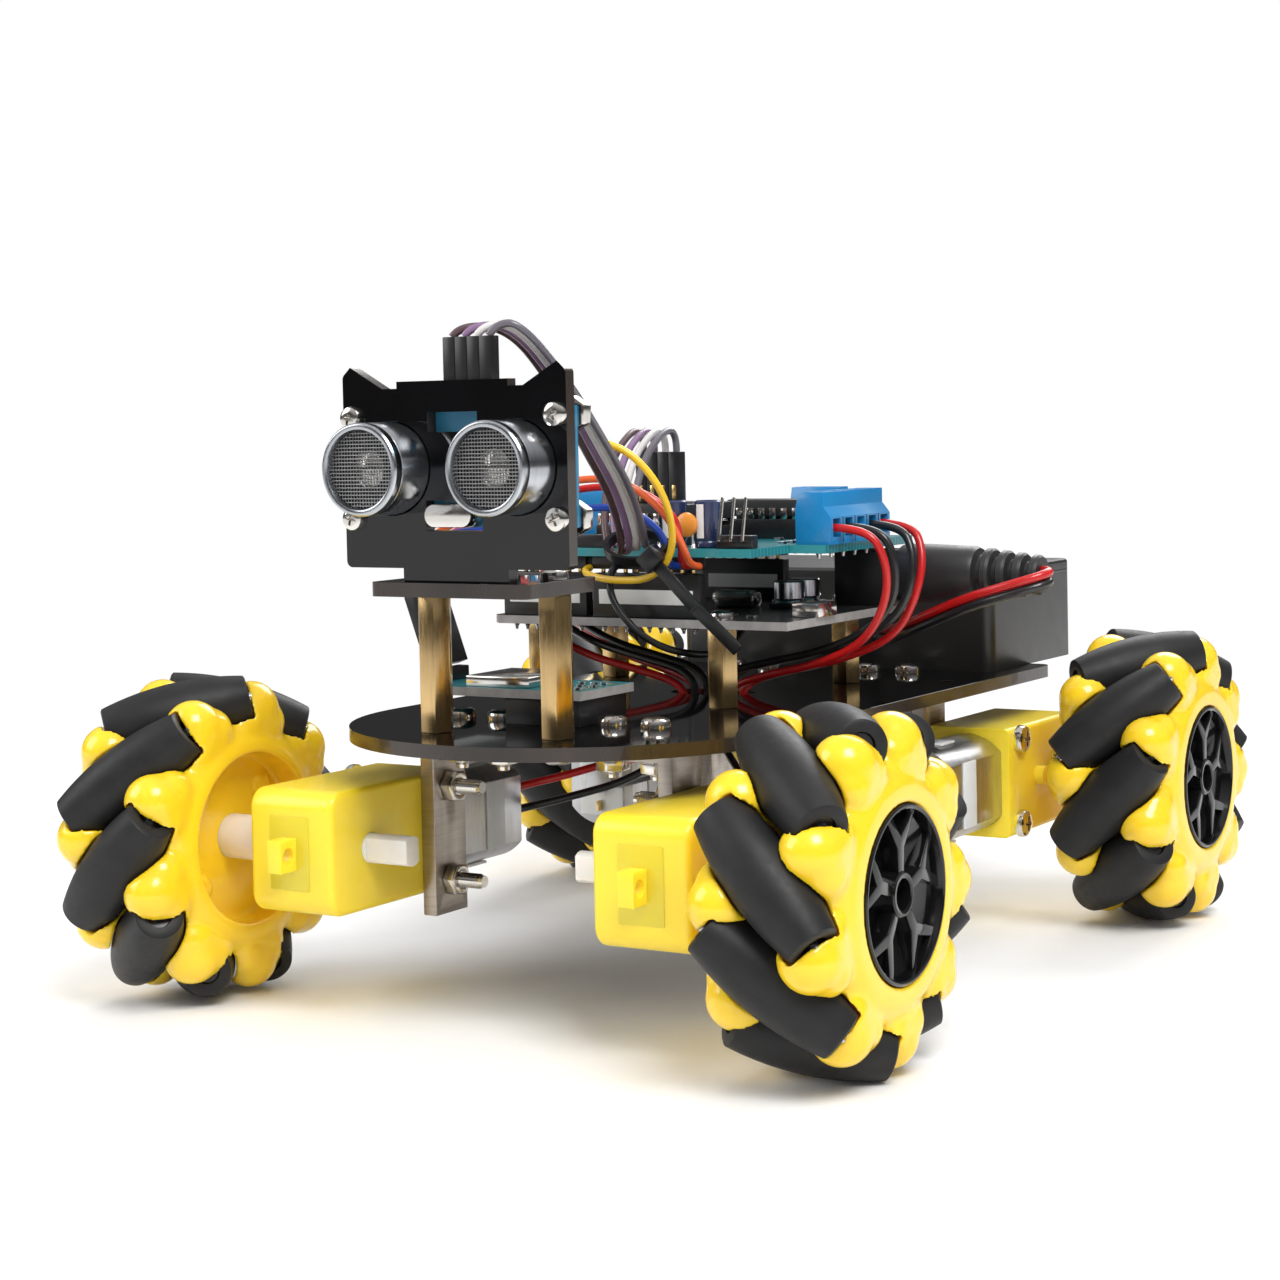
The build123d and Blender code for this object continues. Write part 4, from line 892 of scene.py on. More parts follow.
def controller():
    """Controller board: sockets with open contacts, jack, USB socket, main chip, capacitors."""
    piece = Piece("controller_board_assembly")
    solids = cad_solids("controller_board")
    slab = max(solids, key=lambda part: span(part).x * span(part).y)
    for solid in solids:
        if solid is slab:
            sheet(piece, solid, MASK_BLACK, BOARD_EDGE, smooth=False)
            continue
        size, middle = span(solid), centre_of(solid)
        if size.z < 2:
            bevel_sharp(solid, 0.1)
            piece.merge(solid, CHIP_BLACK)
        elif size.z < 3:
            bevel_sharp(solid, 0.25)
            piece.merge(solid, NICKEL)
        elif abs(size.x - 6.3) < 0.4 and abs(size.y - 6.3) < 0.4:
            solid.free()
            smd_capacitor(piece, middle.x, middle.y, BOARD_TOP)
        else:
            bevel_sharp(solid, 0.25)
            piece.merge(solid, BLACK_PLASTIC)
    for left, right, y in header_rows():
        solder_bumps(piece, [(x, y) for x in pin_places(left, right)], BOARD_BOTTOM)
        label_z = (BOARD_TOP + 2.6, BOARD_TOP + 5.4)
        piece.box((left + 1.5, right - 1.5), (y - 1.33, y - 1.2), label_z, LABEL_WHITE, 0.03)
        for x in pin_places(left, right):
            # The mouth of each socket hole is a matt black square of painted shade, and the gold contact
            # stands up through it.
            mouth_z = (SOCKET_TOP - 0.3, SOCKET_TOP + 0.02)
            piece.box((x - 0.5, x + 0.5), (y - 0.5, y + 0.5), mouth_z, PRINT_AND_PAINTED_SHADE_BLACK, 0.05)
            contact_z = (SOCKET_TOP, SOCKET_TOP + 3.4)
            piece.box((x - 0.32, x + 0.32), (y - 0.32, y + 0.32), contact_z, GOLD, 0.05)
    for i in range(7):
        resistor(piece, 20.5 - 5.5 * i, BOARD_FRONT_Y + 7.0 + (i % 3) * 2.2, BOARD_TOP, (i % 2) * pi / 2)
        resistor(piece, 18 - 6.1 * i, BOARD_REAR_Y - 9.0 - (i % 2) * 3, BOARD_TOP, (i % 3) * pi / 2)
    crystal = [(-5.0, -2.1), (5.0, -2.1), (5.0, 2.1), (-5.0, 2.1)]
    here = Matrix.Translation((4.0, 9.0, BOARD_TOP))
    piece.prism(crystal, 3.4, NICKEL, here, 1.2)
    piece.done(("controller_board",))


def span(part):
    """Size of a bmesh's bounding box."""
    corners = [v.co for v in part.verts]
    return Vector([max(c[i] for c in corners) - min(c[i] for c in corners) for i in range(3)])


def smd_capacitor(piece, x, y, z):
    """A silver can on a black foot, with a dark band on its top."""
    piece.box((x - 3.1, x + 3.1), (y - 3.1, y + 3.1), (z, z + 0.9), BLACK_PLASTIC, 0.2)
    can = [(0, 0.8), (2.9, 0.8), (3.05, 1.0), (2.8, 1.5), (3.1, 1.9), (3.1, 5.1), (2.85, 5.38), (0, 5.38)]
    piece.turned(can, ALUMINIUM, (x, y, z), segments=40)
    piece.prism([(-2.3, 1.4), (2.3, 1.4), (1.6, 2.3), (-1.6, 2.3)], 0.06, PRINT_AND_PAINTED_SHADE_BLACK,
                Matrix.Translation((x, y, z + 5.36)))


def round_capacitor(piece, x, y, z, radius, height):
    """A radial capacitor: dark blue sleeve with a pale stripe and a silver top."""
    sleeve = [(0, 0), (radius - 0.3, 0), (radius, 0.3), (radius, 1.0), (radius - 0.18, 1.3), (radius, 1.6)]
    sleeve += [(radius, height - 0.3), (radius - 0.3, height)]
    sleeve += [(radius - 0.7, height), (radius - 0.7, height - 0.15)]
    piece.turned(sleeve, SLEEVE_BLUE, (x, y, z), segments=40)
    lid = [(radius - 0.6, height - 0.2), (0, height - 0.2), (0, height - 0.3)]
    piece.turned(lid, ALUMINIUM, (x, y, z), segments=32)
    outer_r, inner_r = 1.02 * radius, radius - 0.3
    stripe = [(outer_r * cos(a), outer_r * sin(a)) for a in (radians(-120 + 8 * i) for i in range(6))]
    stripe += [(inner_r * cos(a), inner_r * sin(a)) for a in (radians(-80 - 8 * i) for i in range(6))]
    piece.prism(stripe, height - 2.6, LABEL_WHITE, Matrix.Translation((x, y, z + 1.9)))


def driver_shield():
    """Driver board with socketed chips, capacitors, pin headers, and the upright housing."""
    piece = Piece("motor_shield_assembly")
    for solid in cad_solids("motor_shield"):
        size = span(solid)
        if size.x > 60:
            sheet(piece, solid, MASK_TEAL, MASK_TEAL, smooth=False)
        else:
            solid.free()
    for left, right, y in header_rows():
        piece.box((left, right), (y - 1.25, y + 1.25), (SHIELD_BOTTOM - 2.5, SHIELD_BOTTOM),
                  BLACK_PLASTIC, 0.15)
        solder_bumps(piece, [(x, y) for x in pin_places(left, right)], SHIELD_TOP, down=False)
    for x, y in SHIELD_CHIPS:
        chip_in_socket(piece, x, y)
    for x, y in SHIELD_CAPACITORS:
        round_capacitor(piece, x, y, SHIELD_TOP, 2.5, 9.0)
    tower(piece)
    front = BOARD_FRONT_Y + 2.2
    for x in (-27.5, -21.5):
        ceramic_disc(piece, x, front + 3)
    piece.box((-35.5, -30.5), (front, front + 2.5), (SHIELD_TOP, SHIELD_TOP + 2.5), BLACK_PLASTIC, 0.15)
    piece.box((16.0, 23.6), (front - 0.5, front + 2.0), (SHIELD_TOP, SHIELD_TOP + 2.5), BLACK_PLASTIC, 0.15)
    for x in (17.3, 19.8, 22.3):
        bent_pin(piece, x, front - 0.5)
    ceramic_disc(piece, 9.0, front + 0.6)
    piece.box((-20.3, -4.5), (front - 1.2, front + 1.3), (SHIELD_TOP, SHIELD_TOP + 2.5), BLACK_PLASTIC, 0.15)
    for i in range(6):
        resistor(piece, -30 + 8.5 * i, 12.6 - (i % 2) * 1.2, SHIELD_TOP, (i % 2) * pi / 2)
        resistor(piece, 20.5, -2.0 + 3.6 * i, SHIELD_TOP, pi / 2)
    piece.box((19.2, 20.8), (-14.0, -12.6), (SHIELD_TOP, SHIELD_TOP + 0.9), LED_RED, 0.2)
    pole_y = [TERMINAL_FRONT_Y + TERMINAL_PITCH * (i + 0.5) for i in range(5)]
    solder_bumps(piece, [(x, y) for y in pole_y for x in (28.0, -33.6)], SHIELD_BOTTOM)
    for x, y in SHIELD_CHIPS:
        legs = [(x - 8.9 + i * PIN_PITCH, y + side * 3.8) for i in range(8) for side in (-1, 1)]
        solder_bumps(piece, legs, SHIELD_BOTTOM)
    piece.done(("motor_shield",))


def bent_pin(piece, x, y):
    """A square pin that leaves its header forwards and turns up."""
    z = SHIELD_TOP + 1.3
    piece.bar((x, y + 0.3, z), (x, y - 1.4, z + 0.4), 0.33, NICKEL, 8)
    piece.bar((x, y - 1.3, z + 0.3), (x + 0.4, y - 0.2, z + 8.4), 0.33, NICKEL, 8)


def ceramic_disc(piece, x, y):
    """A disc capacitor on two wire legs."""
    profile = [(0, -1.1), (1.6, -1.0), (2.2, -0.6), (2.4, 0), (2.2, 0.6), (1.6, 1.0), (0, 1.1)]
    piece.turned(profile, CERAMIC_TAN, (x, y, SHIELD_TOP + 4.4), (0, 1, 0), 28)
    for side in (-1, 1):
        piece.bar((x + side * 1.27, y, SHIELD_TOP), (x + side * 1.27, y, SHIELD_TOP + 3.2), 0.28, SOLDER, 10)


def chip_in_socket(piece, x, y):
    """A sixteen-leg chip in its socket, with bent legs, a notch and a dot."""
    z = SHIELD_TOP
    piece.box((x - 10, x + 10), (y - 3.9, y - 2.4), (z, z + 4.0), BLACK_PLASTIC, 0.15)
    piece.box((x - 10, x + 10), (y + 2.4, y + 3.9), (z, z + 4.0), BLACK_PLASTIC, 0.15)
    for x0 in (-10, -0.8, 8.6):
        piece.box((x + x0, x + x0 + 1.5), (y - 2.5, y + 2.5), (z, z + 3.2), BLACK_PLASTIC, 0.15)
    piece.box((x - 9.6, x + 9.6), (y - 3.15, y + 3.15), (z + 4.5, z + 7.9), CHIP_BLACK, 0.35)
    # The pin-one dimple is a flat matt black disc of painted shade.
    piece.turned([(0, 0), (0.7, 0), (0.7, 0.05), (0, 0.06)], PRINT_AND_PAINTED_SHADE_BLACK, (x - 8.2, y - 1.9, z + 7.88))
    piece.turned([(0, 0), (1.0, 0), (1.0, 0.05), (0, 0.06)], BLACK_PLASTIC, (x - 9.2, y, z + 7.88))
    for i in range(8):
        leg_x = x - 8.89 + i * PIN_PITCH
        for side in (-1, 1):
            outer = sorted((y + side * 3.0, y + side * 3.75))
            piece.box((leg_x - 0.7, leg_x + 0.7), outer, (z + 5.9, z + 6.2), NICKEL, 0.08)
            upright = sorted((y + side * 3.5, y + side * 3.78))
            piece.box((leg_x - 0.7, leg_x + 0.7), upright, (z + 4.0, z + 6.2), NICKEL, 0.08)


def tower(piece):
    """The upright four-way wire housing, each cell with its latch window."""
    for i in range(4):
        x = TOWER_X + (i - 1.5) * PIN_PITCH
        piece.box((x - 1.25, x + 1.25), (-1.28, 1.28), (SHIELD_TOP + 2.5, TOWER_TOP), BLACK_PLASTIC, 0.18)
        piece.box((x - 0.45, x + 0.45), (-1.34, -1.2), (SHIELD_TOP + 8.2, SHIELD_TOP + 11.4), GOLD, 0.04)
        piece.box((x - 0.3, x + 0.3), (-0.3, 0.3), (SHIELD_TOP + 0.1, SHIELD_TOP + 3), GOLD, 0.04)
    piece.box((TOWER_X - 5.1, TOWER_X + 5.1), (-1.2, 1.2), (SHIELD_TOP, SHIELD_TOP + 2.4), BLACK_PLASTIC, 0.2)


def terminals():
    """Blue screw terminals with steel clamps in the mouths and screws in the wells, each slot a black bar of
    painted shade.
    """
    piece = Piece("terminal_blocks")
    for solid in cad_solids("screw_terminals"):
        bevel_sharp(solid, 0.22)
        piece.merge(solid, TERMINAL_BLUE)
    middle_y = TERMINAL_FRONT_Y + 2.5 * TERMINAL_PITCH
    for x, y, turn, poles in ((LEFT_TERMINAL_X, middle_y, 90, 5), (RIGHT_TERMINAL_X, middle_y, -90, 5),
                              (13.0, BOARD_REAR_Y + 0.6, 180, 2)):
        here = Matrix.Translation((x, y, SHIELD_TOP)) @ Matrix.Rotation(radians(turn), 4, "Z")
        for i in range(poles):
            px = (i + 0.5 - poles / 2) * TERMINAL_PITCH
            piece.box((px - 1.5, px + 1.5), (1.7, 4.4), (1.5, 2.2), NICKEL, 0.1, here)
            piece.box((px - 1.5, px + 1.5), (1.7, 4.4), (4.3, 4.8), NICKEL, 0.1, here)
            turned = Matrix.Rotation(radians(35 * i), 4, "Z")
            screw_here = here @ Matrix.Translation((px, 4.4, 6.6)) @ turned
            head = [(0, 0), (1.6, 0), (1.6, 1.6), (1.4, 1.8), (0, 1.8)]
            piece.turned(head, NICKEL, matrix=screw_here, segments=28)
            # The screw's slot is not cut: a black bar of painted shade lies across the head.
            piece.box((-1.5, 1.5), (-0.18, 0.18), (1.55, 1.85), PRINT_AND_PAINTED_SHADE_BLACK, 0.03, screw_here)
            if i:
                edge = px - TERMINAL_PITCH / 2
                piece.box((edge - 0.12, edge + 0.12), (-0.06, 0.1), (0.2, 5.2), BLACK_PLASTIC, 0.03, here)
    piece.done(("screw_terminals",))


# ---- ultrasonic sensor ----
def transducers():
    """Two aluminium cans with rolled rims, a black disc of painted shade on each floor, a cone inside and
    woven mesh across the mouth.
    """
    piece = Piece("transducer_cans")
    rim_y, r = TRANSDUCER_RIM_Y, TRANSDUCER_R
    depth = SENSOR_PCB_Y - rim_y
    can = [(0, depth), (r, depth), (r, 2.2), (r - 0.1, 2.05), (r, 1.9), (r, 0.4)]
    can += [(r - 0.25, 0.1), (r - 0.6, 0), (6.9, 0.15), (6.55, 0.9), (6.5, 3.2), (0, 3.2)]
    floor = [(0, 3.15), (6.5, 3.15), (6.5, 3.0), (0, 3.0)]
    cone = [(0, 3.05), (3.4, 3.05), (3.2, 2.8), (2.0, 2.4), (0.7, 1.9), (0, 1.8)]
    for x in (-TRANSDUCER_X, TRANSDUCER_X):
        mouth = (x, rim_y, TRANSDUCER_Z)
        piece.turned(can, ALUMINIUM, mouth, (0, 1, 0), 72)
        # A matt black disc just in front of the can's floor: painted shade deep in the can.
        piece.turned(floor, PRINT_AND_PAINTED_SHADE_BLACK, mouth, (0, 1, 0), 48)
        piece.turned(cone, NICKEL, mouth, (0, 1, 0), 48)
        woven_mesh(piece, x, rim_y + 1.1, 6.62)
    piece.done(("sonar_transducers",))


def woven_mesh(piece, x, y, radius):
    """Fine wires crossing over a round mouth: level ones in front, upright ones behind."""
    count = int(radius / MESH_PITCH)
    for i in range(-count, count + 1):
        offset = i * MESH_PITCH
        reach = sqrt(radius**2 - offset**2)
        z = TRANSDUCER_Z + offset
        piece.bar((x - reach, y, z), (x + reach, y, z), 0.11, MESH_METAL, 6, 0.02)
        low = (x + offset, y + 0.16, TRANSDUCER_Z - reach)
        high = (x + offset, y + 0.16, TRANSDUCER_Z + reach)
        piece.bar(low, high, 0.11, MESH_METAL, 6, 0.02)


def sonar():
    """Sensor board with its crystal can, rear chips, header and four-way wire housing."""
    piece = Piece("sonar_board_assembly")
    low_z, high_z = TRANSDUCER_Z - 10.3, TRANSDUCER_Z + 10.2
    back = SENSOR_PCB_Y + PCB
    for solid in cad_solids("sonar_board"):
        size = span(solid)
        if size.x > 40:
            solid.normal_update()
            piece.merge(solid, MASK_BLUE, smooth=False)
        else:
            solid.free()
    oval = [(2.9 + 2.0 * cos(a), 2.0 * sin(a)) for a in (radians(-90 + 15 * i) for i in range(13))]
    oval += [(-px, -py) for px, py in oval]
    here = Matrix.Translation((-0.8, SENSOR_PCB_Y, 90.4)) @ Matrix.Rotation(radians(90), 4, "X")
    piece.prism(oval, 3.6, NICKEL, here, 0.35)
    piece.box((-5.1, 5.1), (back, back + 2.5), (high_z - 3.0, high_z - 0.5), BLACK_PLASTIC, 0.15)
    for i in range(4):
        x = 0.4 + (i - 1.5) * PIN_PITCH
        piece.box((x - 1.25, x + 1.25), (back, back + 2.6), (high_z - 0.4, SONAR_PLUG_TOP),
                  BLACK_PLASTIC, 0.18)
        piece.box((x - 0.45, x + 0.45), (back + 2.5, back + 2.66), (high_z + 4.2, high_z + 7.4), GOLD, 0.04)
    for x, z, half in ((-12.5, 97.0, 4.3), (12.5, 97.0, 4.3), (0.0, 97.0, 2.6)):
        piece.box((x - half, x + half), (back, back + 1.5), (z - 2.0, z + 2.0), CHIP_BLACK, 0.15)
        for i in range(int(half / 0.65)):
            leg_x = x - half + 0.8 + i * 1.27
            for side in (-1, 1):
                legs = sorted((z + side * 1.9, z + side * 3.0))
                piece.box((leg_x - 0.2, leg_x + 0.2), (back, back + 0.5), legs, SOLDER, 0.05)
    for i in range(5):
        here = Matrix.Translation((-10 + 4.8 * i, back, low_z + 4.2)) @ Matrix.Rotation(radians(-90), 4, "X")
        piece.box((-1.0, 1.0), (-0.6, 0.6), (0, 0.5), CHIP_BLACK, 0.08, here)
    piece.done(("sonar_board",))


# ---- wireless board, battery box and power plug ----
def wireless():
    """Wireless board on a foam pad, with its metal can and a wire housing leaning over."""
    piece = Piece("wireless_board_assembly")
    bottom = DECK_TOP + 4.9
    top = bottom + PCB
    for solid in cad_solids("wireless_module"):
        size = span(solid)
        if size.x > 30:
            sheet(piece, solid, MASK_TEAL, BOARD_EDGE, smooth=False)
        elif size.z < 3 and size.x > 12:
            bevel_sharp(solid, 0.3)
            piece.merge(solid, NICKEL)
        else:
            bevel_sharp(solid, 0.2)
            piece.merge(solid, BLACK_PLASTIC)
    for i in range(9):
        resistor(piece, 2.0 + (i % 3) * 2.4, -54.0 + (i // 3) * 4.4, top, (i % 2) * pi / 2, (1.6, 0.8, 0.45))
    resistor(piece, -20.5, -44.0, top, pi / 2, (2.0, 1.2, 0.7), LED_RED)
    for i in range(6):
        y = -55.5 + i * 2.6
        piece.box((5.4, 8.2), (y - 0.25, y + 0.25), (top - 0.02, top + 0.06), GOLD, 0.02)
    piece.done(("wireless_module",))


def battery():
    """Battery box in moulded plastic: tray and lid, a joint line on each side, two cells inside."""
    piece = Piece("battery_box_shell")
    for solid in cad_solids("battery_box"):
        size = span(solid)
        if abs(size.z - 18) < 1 and abs(size.y - 18) < 1:
            solid.free()
            continue
        bevel_sharp(solid, 0.3, 40)
        piece.merge(solid, BATTERY_BLACK)
    low, high = mm_box("battery_box")
    for y in (low.y + 11.5, high.y - 11.5):
        z = DECK_TOP + 1.6 + 9.0
        cell = [(0, -32.4), (8.6, -32.4), (8.95, -32.0), (8.95, 30.6)]
        cell += [(8.6, 31.0), (4.2, 31.1), (4.2, 32.4), (0, 32.5)]
        piece.turned(cell, TERMINAL_BLUE, (0, y, z), (1, 0, 0), 40)
    for side in (-1, 1):
        x = side * (BATTERY_HALF_WIDTH - 1.9)
        piece.box(sorted((x, x + side * 1.95)), (BATTERY_FRONT_Y + 2.5, BATTERY_REAR_Y - 2.5),
                  (DECK_TOP + 18.7, DECK_TOP + 19.3), BATTERY_BLACK, 0.15)
    piece.done(("battery_box",))


def plug():
    """Barrel plug: soft moulded body, grip ribs and a nickel barrel."""
    piece = Piece("power_plug")
    x = JACK_FACE_X + 0.3
    here = axis_frame((0, JACK_Y, PLUG_Z), (1, 0, 0))
    body = [(0, x), (5.0, x), (5.7, x + 0.3), (5.9, x + 1.0), (5.85, x + 6), (5.6, x + 12)]
    body += [(5.5, x + PLUG_BODY - 1.2), (5.1, x + PLUG_BODY - 0.3), (4.2, x + PLUG_BODY)]
    for i in range(PLUG_RIBS):
        start = x + PLUG_BODY + i * PLUG_RIB_PITCH
        rib_r = 5.2 - 0.4 * i
        body += [(rib_r - 1.3, start + 0.2), (rib_r - 1.3, start + 1.1), (rib_r - 0.5, start + 1.25)]
        body += [(rib_r - 0.05, start + 1.6), (rib_r - 0.1, start + 2.6), (rib_r - 0.5, start + 3.1)]
    body += [(2.6, PLUG_END_X - 0.05), (0, PLUG_END_X)]
    piece.turned(body, PLUG_BLACK, matrix=here, segments=48)
    barrel = [(0, x - 8.5), (2.5, x - 8.5), (2.7, x - 8.2), (2.7, x + 0.2), (0, x + 0.2)]
    piece.turned(barrel, NICKEL, matrix=here, segments=32)
    piece.done(("dc_plug",))


# ---- wiring: routes in metres, from part to part ----
def wire(name, colour, diameter, route, replaces=()):
    """A wire as a smooth curve: its diameter is in millimetres, its route in metres."""
    curve = bpy.data.curves.new(name, "CURVE")
    curve.dimensions = "3D"
    curve.bevel_depth = diameter * MM / 2
    curve.bevel_resolution = 5
    curve.resolution_u = 12
    curve.use_fill_caps = True
    spline = curve.splines.new("NURBS")
    spline.points.add(len(route) - 1)
    for point, place_at in zip(spline.points, route):
        point.co = (*place_at, 1)
    spline.order_u = 3
    spline.use_endpoint_u = True
    curve.materials.append(WIRE[colour])
    made = bpy.data.objects.new(name, curve)
    return place(made, ROOT, replaces)


def in_metres(*points):
    """Millimetre points as metres."""
    return [tuple(c * MM for c in point) for point in points]


def motor_lead(side, end, first):
    """One lead from a motor, up through the deck's slot and out to the shield's terminal."""
    hole_x, hole_y = (6.0, 1.5) if first else (3.5, 1.5)
    if side < 0:
        hole_x = -hole_x + 2.0
    if end > 0:
        hole_y = 6.5
    can_y = end * CAN_END_Y
    can_z = 33.5 if first else 29.0
    turn_z = 53.2 if first else 55.6
    pole = 0.5 if first else 1.5
    pole_y = TERMINAL_FRONT_Y + (pole if end < 0 else 5 - pole) * TERMINAL_PITCH
    span_y = LEAD_SPAN_Y[(end, first)]
    mouth_x = LEFT_TERMINAL_X if side > 0 else RIGHT_TERMINAL_X
    out_x = mouth_x + side * 9.0
    mouth_z = SHIELD_TOP + TERMINAL_MOUTH_Z
    route = in_metres(
        (side * (GEARBOX_MID_X - 5), can_y, can_z),
        (side * (GEARBOX_MID_X - 5.5), can_y - end * 4, can_z + 0.3),
        (side * 24, can_y - end * 8.5, can_z + 2),
        (side * 12 + hole_x / 3, hole_y + end * 6, can_z + 5.5),
        (hole_x + side * 0.5, hole_y + end * 1.2, 43),
        (hole_x, hole_y, 48.5),
        (hole_x + side * 0.6, hole_y, turn_z),
        (side * 15, hole_y + (span_y - hole_y) * 0.3, turn_z + 2.6),
        (side * 26, hole_y + (span_y - hole_y) * 0.7, turn_z + 4.8),
        (side * 36.5, span_y, turn_z + 9.5),
        (out_x, span_y + 0.5, 71),
        (out_x + side * 0.5, (span_y + pole_y) / 2 + 0.2, 79),
        (mouth_x + side * 6.0, pole_y, mouth_z + 0.2),
        (mouth_x - side * 3.5, pole_y, mouth_z),
    )
    corner = ("rear" if end > 0 else "front") + ("_left" if side > 0 else "_right")
    colour = "red" if first else "black"
    wire(f"{corner}_motor_lead_{colour}", colour, MOTOR_LEAD_D, route)


def sonar_lead(index, colour):
    """One sensor lead: over the face plate, down in front of the boards, up to the shield."""
    spread = index - 1.5
    start_x = 0.4 + spread * PIN_PITCH
    tower_x = TOWER_X + spread * PIN_PITCH
    route = in_metres(
        (start_x, SONAR_PLUG_Y, SONAR_PLUG_TOP),
        (start_x + 1.2, SONAR_PLUG_Y + 0.6, SONAR_PLUG_TOP + 2.0),
        (7.0 + 1.7 * spread, -72.0 - 1.2 * spread, SONAR_PLUG_TOP + 1.4 + 0.2 * index),
        (12.0 + 1.7 * spread, -66.0 - 0.8 * spread, 113),
        (11.0 + 1.7 * spread, -55.0, 103),
        (8.0 + 1.7 * spread, -40.0, 92.5),
        (3.5 + 1.7 * spread, -28.5, 82),
        (0.0 + 1.7 * spread, -25.5 + 0.8 * spread, 79.5 + 1.2 * index),
        (-3.5 + 2.0 * spread, -24.2, 86),
        (-6.5 + 2.4 * spread, -15.0, 98),
        (tower_x, -4.5, 104.0),
        (tower_x, 0, 103.2),
        (tower_x, 0, TOWER_TOP),
    )
    wire(f"sensor_lead_{colour}", colour, JUMPER_D, route)


# From the left: over the sensor leads, then down into the front of the shield's headers.
MODULE_LEADS = [
    ("yellow", [(-19, -44.5, 95), (-5, -41, 102.5), (6.5, -37.5, 102), (13.5, -34, 93), (13, -29.5, 82),
                (7, -28, 76.2), (-1.5, -27.2, 75.6), (-9, -25.4, 76.4), (-12, -22.5, 77.4),
                (-12, BOARD_HEADER_FRONT_Y, 77.6)]),
    ("orange", [(-20, -41.5, 90), (-7, -37.5, 95), (5, -35, 95.4), (12, -31.5, 89), (13.5, -27.5, 82),
                (12.5, -23.7, 78.4), (12.5, BOARD_HEADER_FRONT_Y, 78.2)]),
    ("blue", [(-21, -39.5, 86), (-8, -34.5, 89.5), (3, -31.5, 90), (8.5, -28.5, 86), (9, -25.8, 81.5),
              (7.5, -23.2, 78.4), (7.5, BOARD_HEADER_FRONT_Y, 78.2)]),
    ("red", [(-21, -37.5, 88), (-8, -32.5, 93.5), (4, -29, 93.6), (11, -26.5, 88.5), (11, -24.2, 82.5),
             (10, -22.8, 78.6), (10, BOARD_HEADER_FRONT_Y, 78.2)]),
]


def module_lead(index, colour, rest):
    """One wireless board lead, from its leaning housing round to the front of the shield."""
    y = MODULE_PLUG_Y - 3.81 + PIN_PITCH * index
    lean = radians(MODULE_PLUG_LEAN)
    top_x = -26.4 - MODULE_PLUG_LENGTH * sin(lean)
    top_z = DECK_TOP + 4.9 + PCB + 3.1 + MODULE_PLUG_LENGTH * cos(lean)
    route = in_metres(
        (top_x, y, top_z),
        (top_x - 4.0 * sin(lean), y, top_z + 4.0 * cos(lean)),
        (top_x + 1.0, y + 0.8, top_z + 11),
        *rest,
    )
    wire(f"wireless_lead_{colour}", colour, JUMPER_D, route)


def power_lead(offset, colour):
    """One of the two leads from the power plug, back past the plug to the battery box."""
    route = in_metres(
        (PLUG_END_X, JACK_Y - 0.4, PLUG_Z + offset),
        (PLUG_END_X + 2.4, JACK_Y - 1.4, PLUG_Z + offset),
        (PLUG_END_X + 2.2, JACK_Y - 5.4, PLUG_Z - 0.6 + offset),
        (PLUG_END_X - 3.0, JACK_Y - 7.8, PLUG_Z - 2.2 + offset),
        (50.0, JACK_Y - 7.0, 69.3 + offset),
        (39.5, JACK_Y - 3.0, 65.3 + offset),
        (30.5, JACK_Y + 4.5, 62.3 + offset),
        (22.5, JACK_Y + 14.0, 60.6 + offset),
        (14.5, JACK_Y + 24.0, 60.6 + offset),
        (12.0, BATTERY_FRONT_Y, 61.2 + offset),
    )
    wire(f"power_lead_{colour}", colour, POWER_LEAD_D, route)


def ground_lead():
    """The black lead that dips in front of the boards and goes back under them."""
    route = in_metres(
        (-5.5, BOARD_HEADER_FRONT_Y, 78.2),
        (-5.5, -24.0, 77.5),
        (-3.5, -26.0, 71.0),
        (3.0, -23.5, 63.5),
        (9.0, -15.0, 60.5),
        (10.5, -5.0, 61.0),
        (9.5, 3.0, BOARD_TOP - PCB - 0.7),
    )
    wire("ground_lead", "black", JUMPER_D, route, ("wiring",))


def wiring():
    """All leads of the robot."""
    ground_lead()
    power_lead(-0.95, "black")
    power_lead(0.95, "red")
    for side, end in corner_sides():
        for first in (True, False):
            motor_lead(side, end, first)
    for index, colour in enumerate(("brown", "purple", "white", "grey")):
        sonar_lead(index, colour)
    for index, (colour, rest) in enumerate(MODULE_LEADS):
        module_lead(index, colour, rest)


def cable_tie():
    """Black tie round the sensor leads, its tail pointing down past the boards."""
    piece = Piece("cable_tie")
    bundle = Vector((3.6, -28.3, 82.2))
    along = Vector((-0.36, 0.9, -0.9))
    band = [(5.3, -1.2), (6.2, -1.2), (6.2, 1.2), (5.3, 1.2), (5.3, -1.2)]
    squash = Matrix.Diagonal((1.0, 0.62, 1.0, 1.0))
    piece.turned(band, BLACK_PLASTIC, matrix=axis_frame(bundle, along) @ squash, segments=40)
    tail = [(9.0, -29.8, 79.0), (16.5, -28.8, 71.0), (24.0, -27.0, 63.5)]
    for start, end in zip(tail, tail[1:]):
        here = axis_frame(start, Vector(end) - Vector(start), (0, 1, 0))
        length = (Vector(end) - Vector(start)).length
        piece.box((-1.2, 1.2), (-0.45, 0.45), (-0.4, length + 0.4), BLACK_PLASTIC, 0.15, here)
    head = axis_frame(tail[0], Vector(tail[1]) - Vector(tail[0]), (0, 1, 0))
    piece.box((-2.1, 2.1), (-1.7, 1.7), (-3.4, 0.4), BLACK_PLASTIC, 0.4, head)
    piece.done()


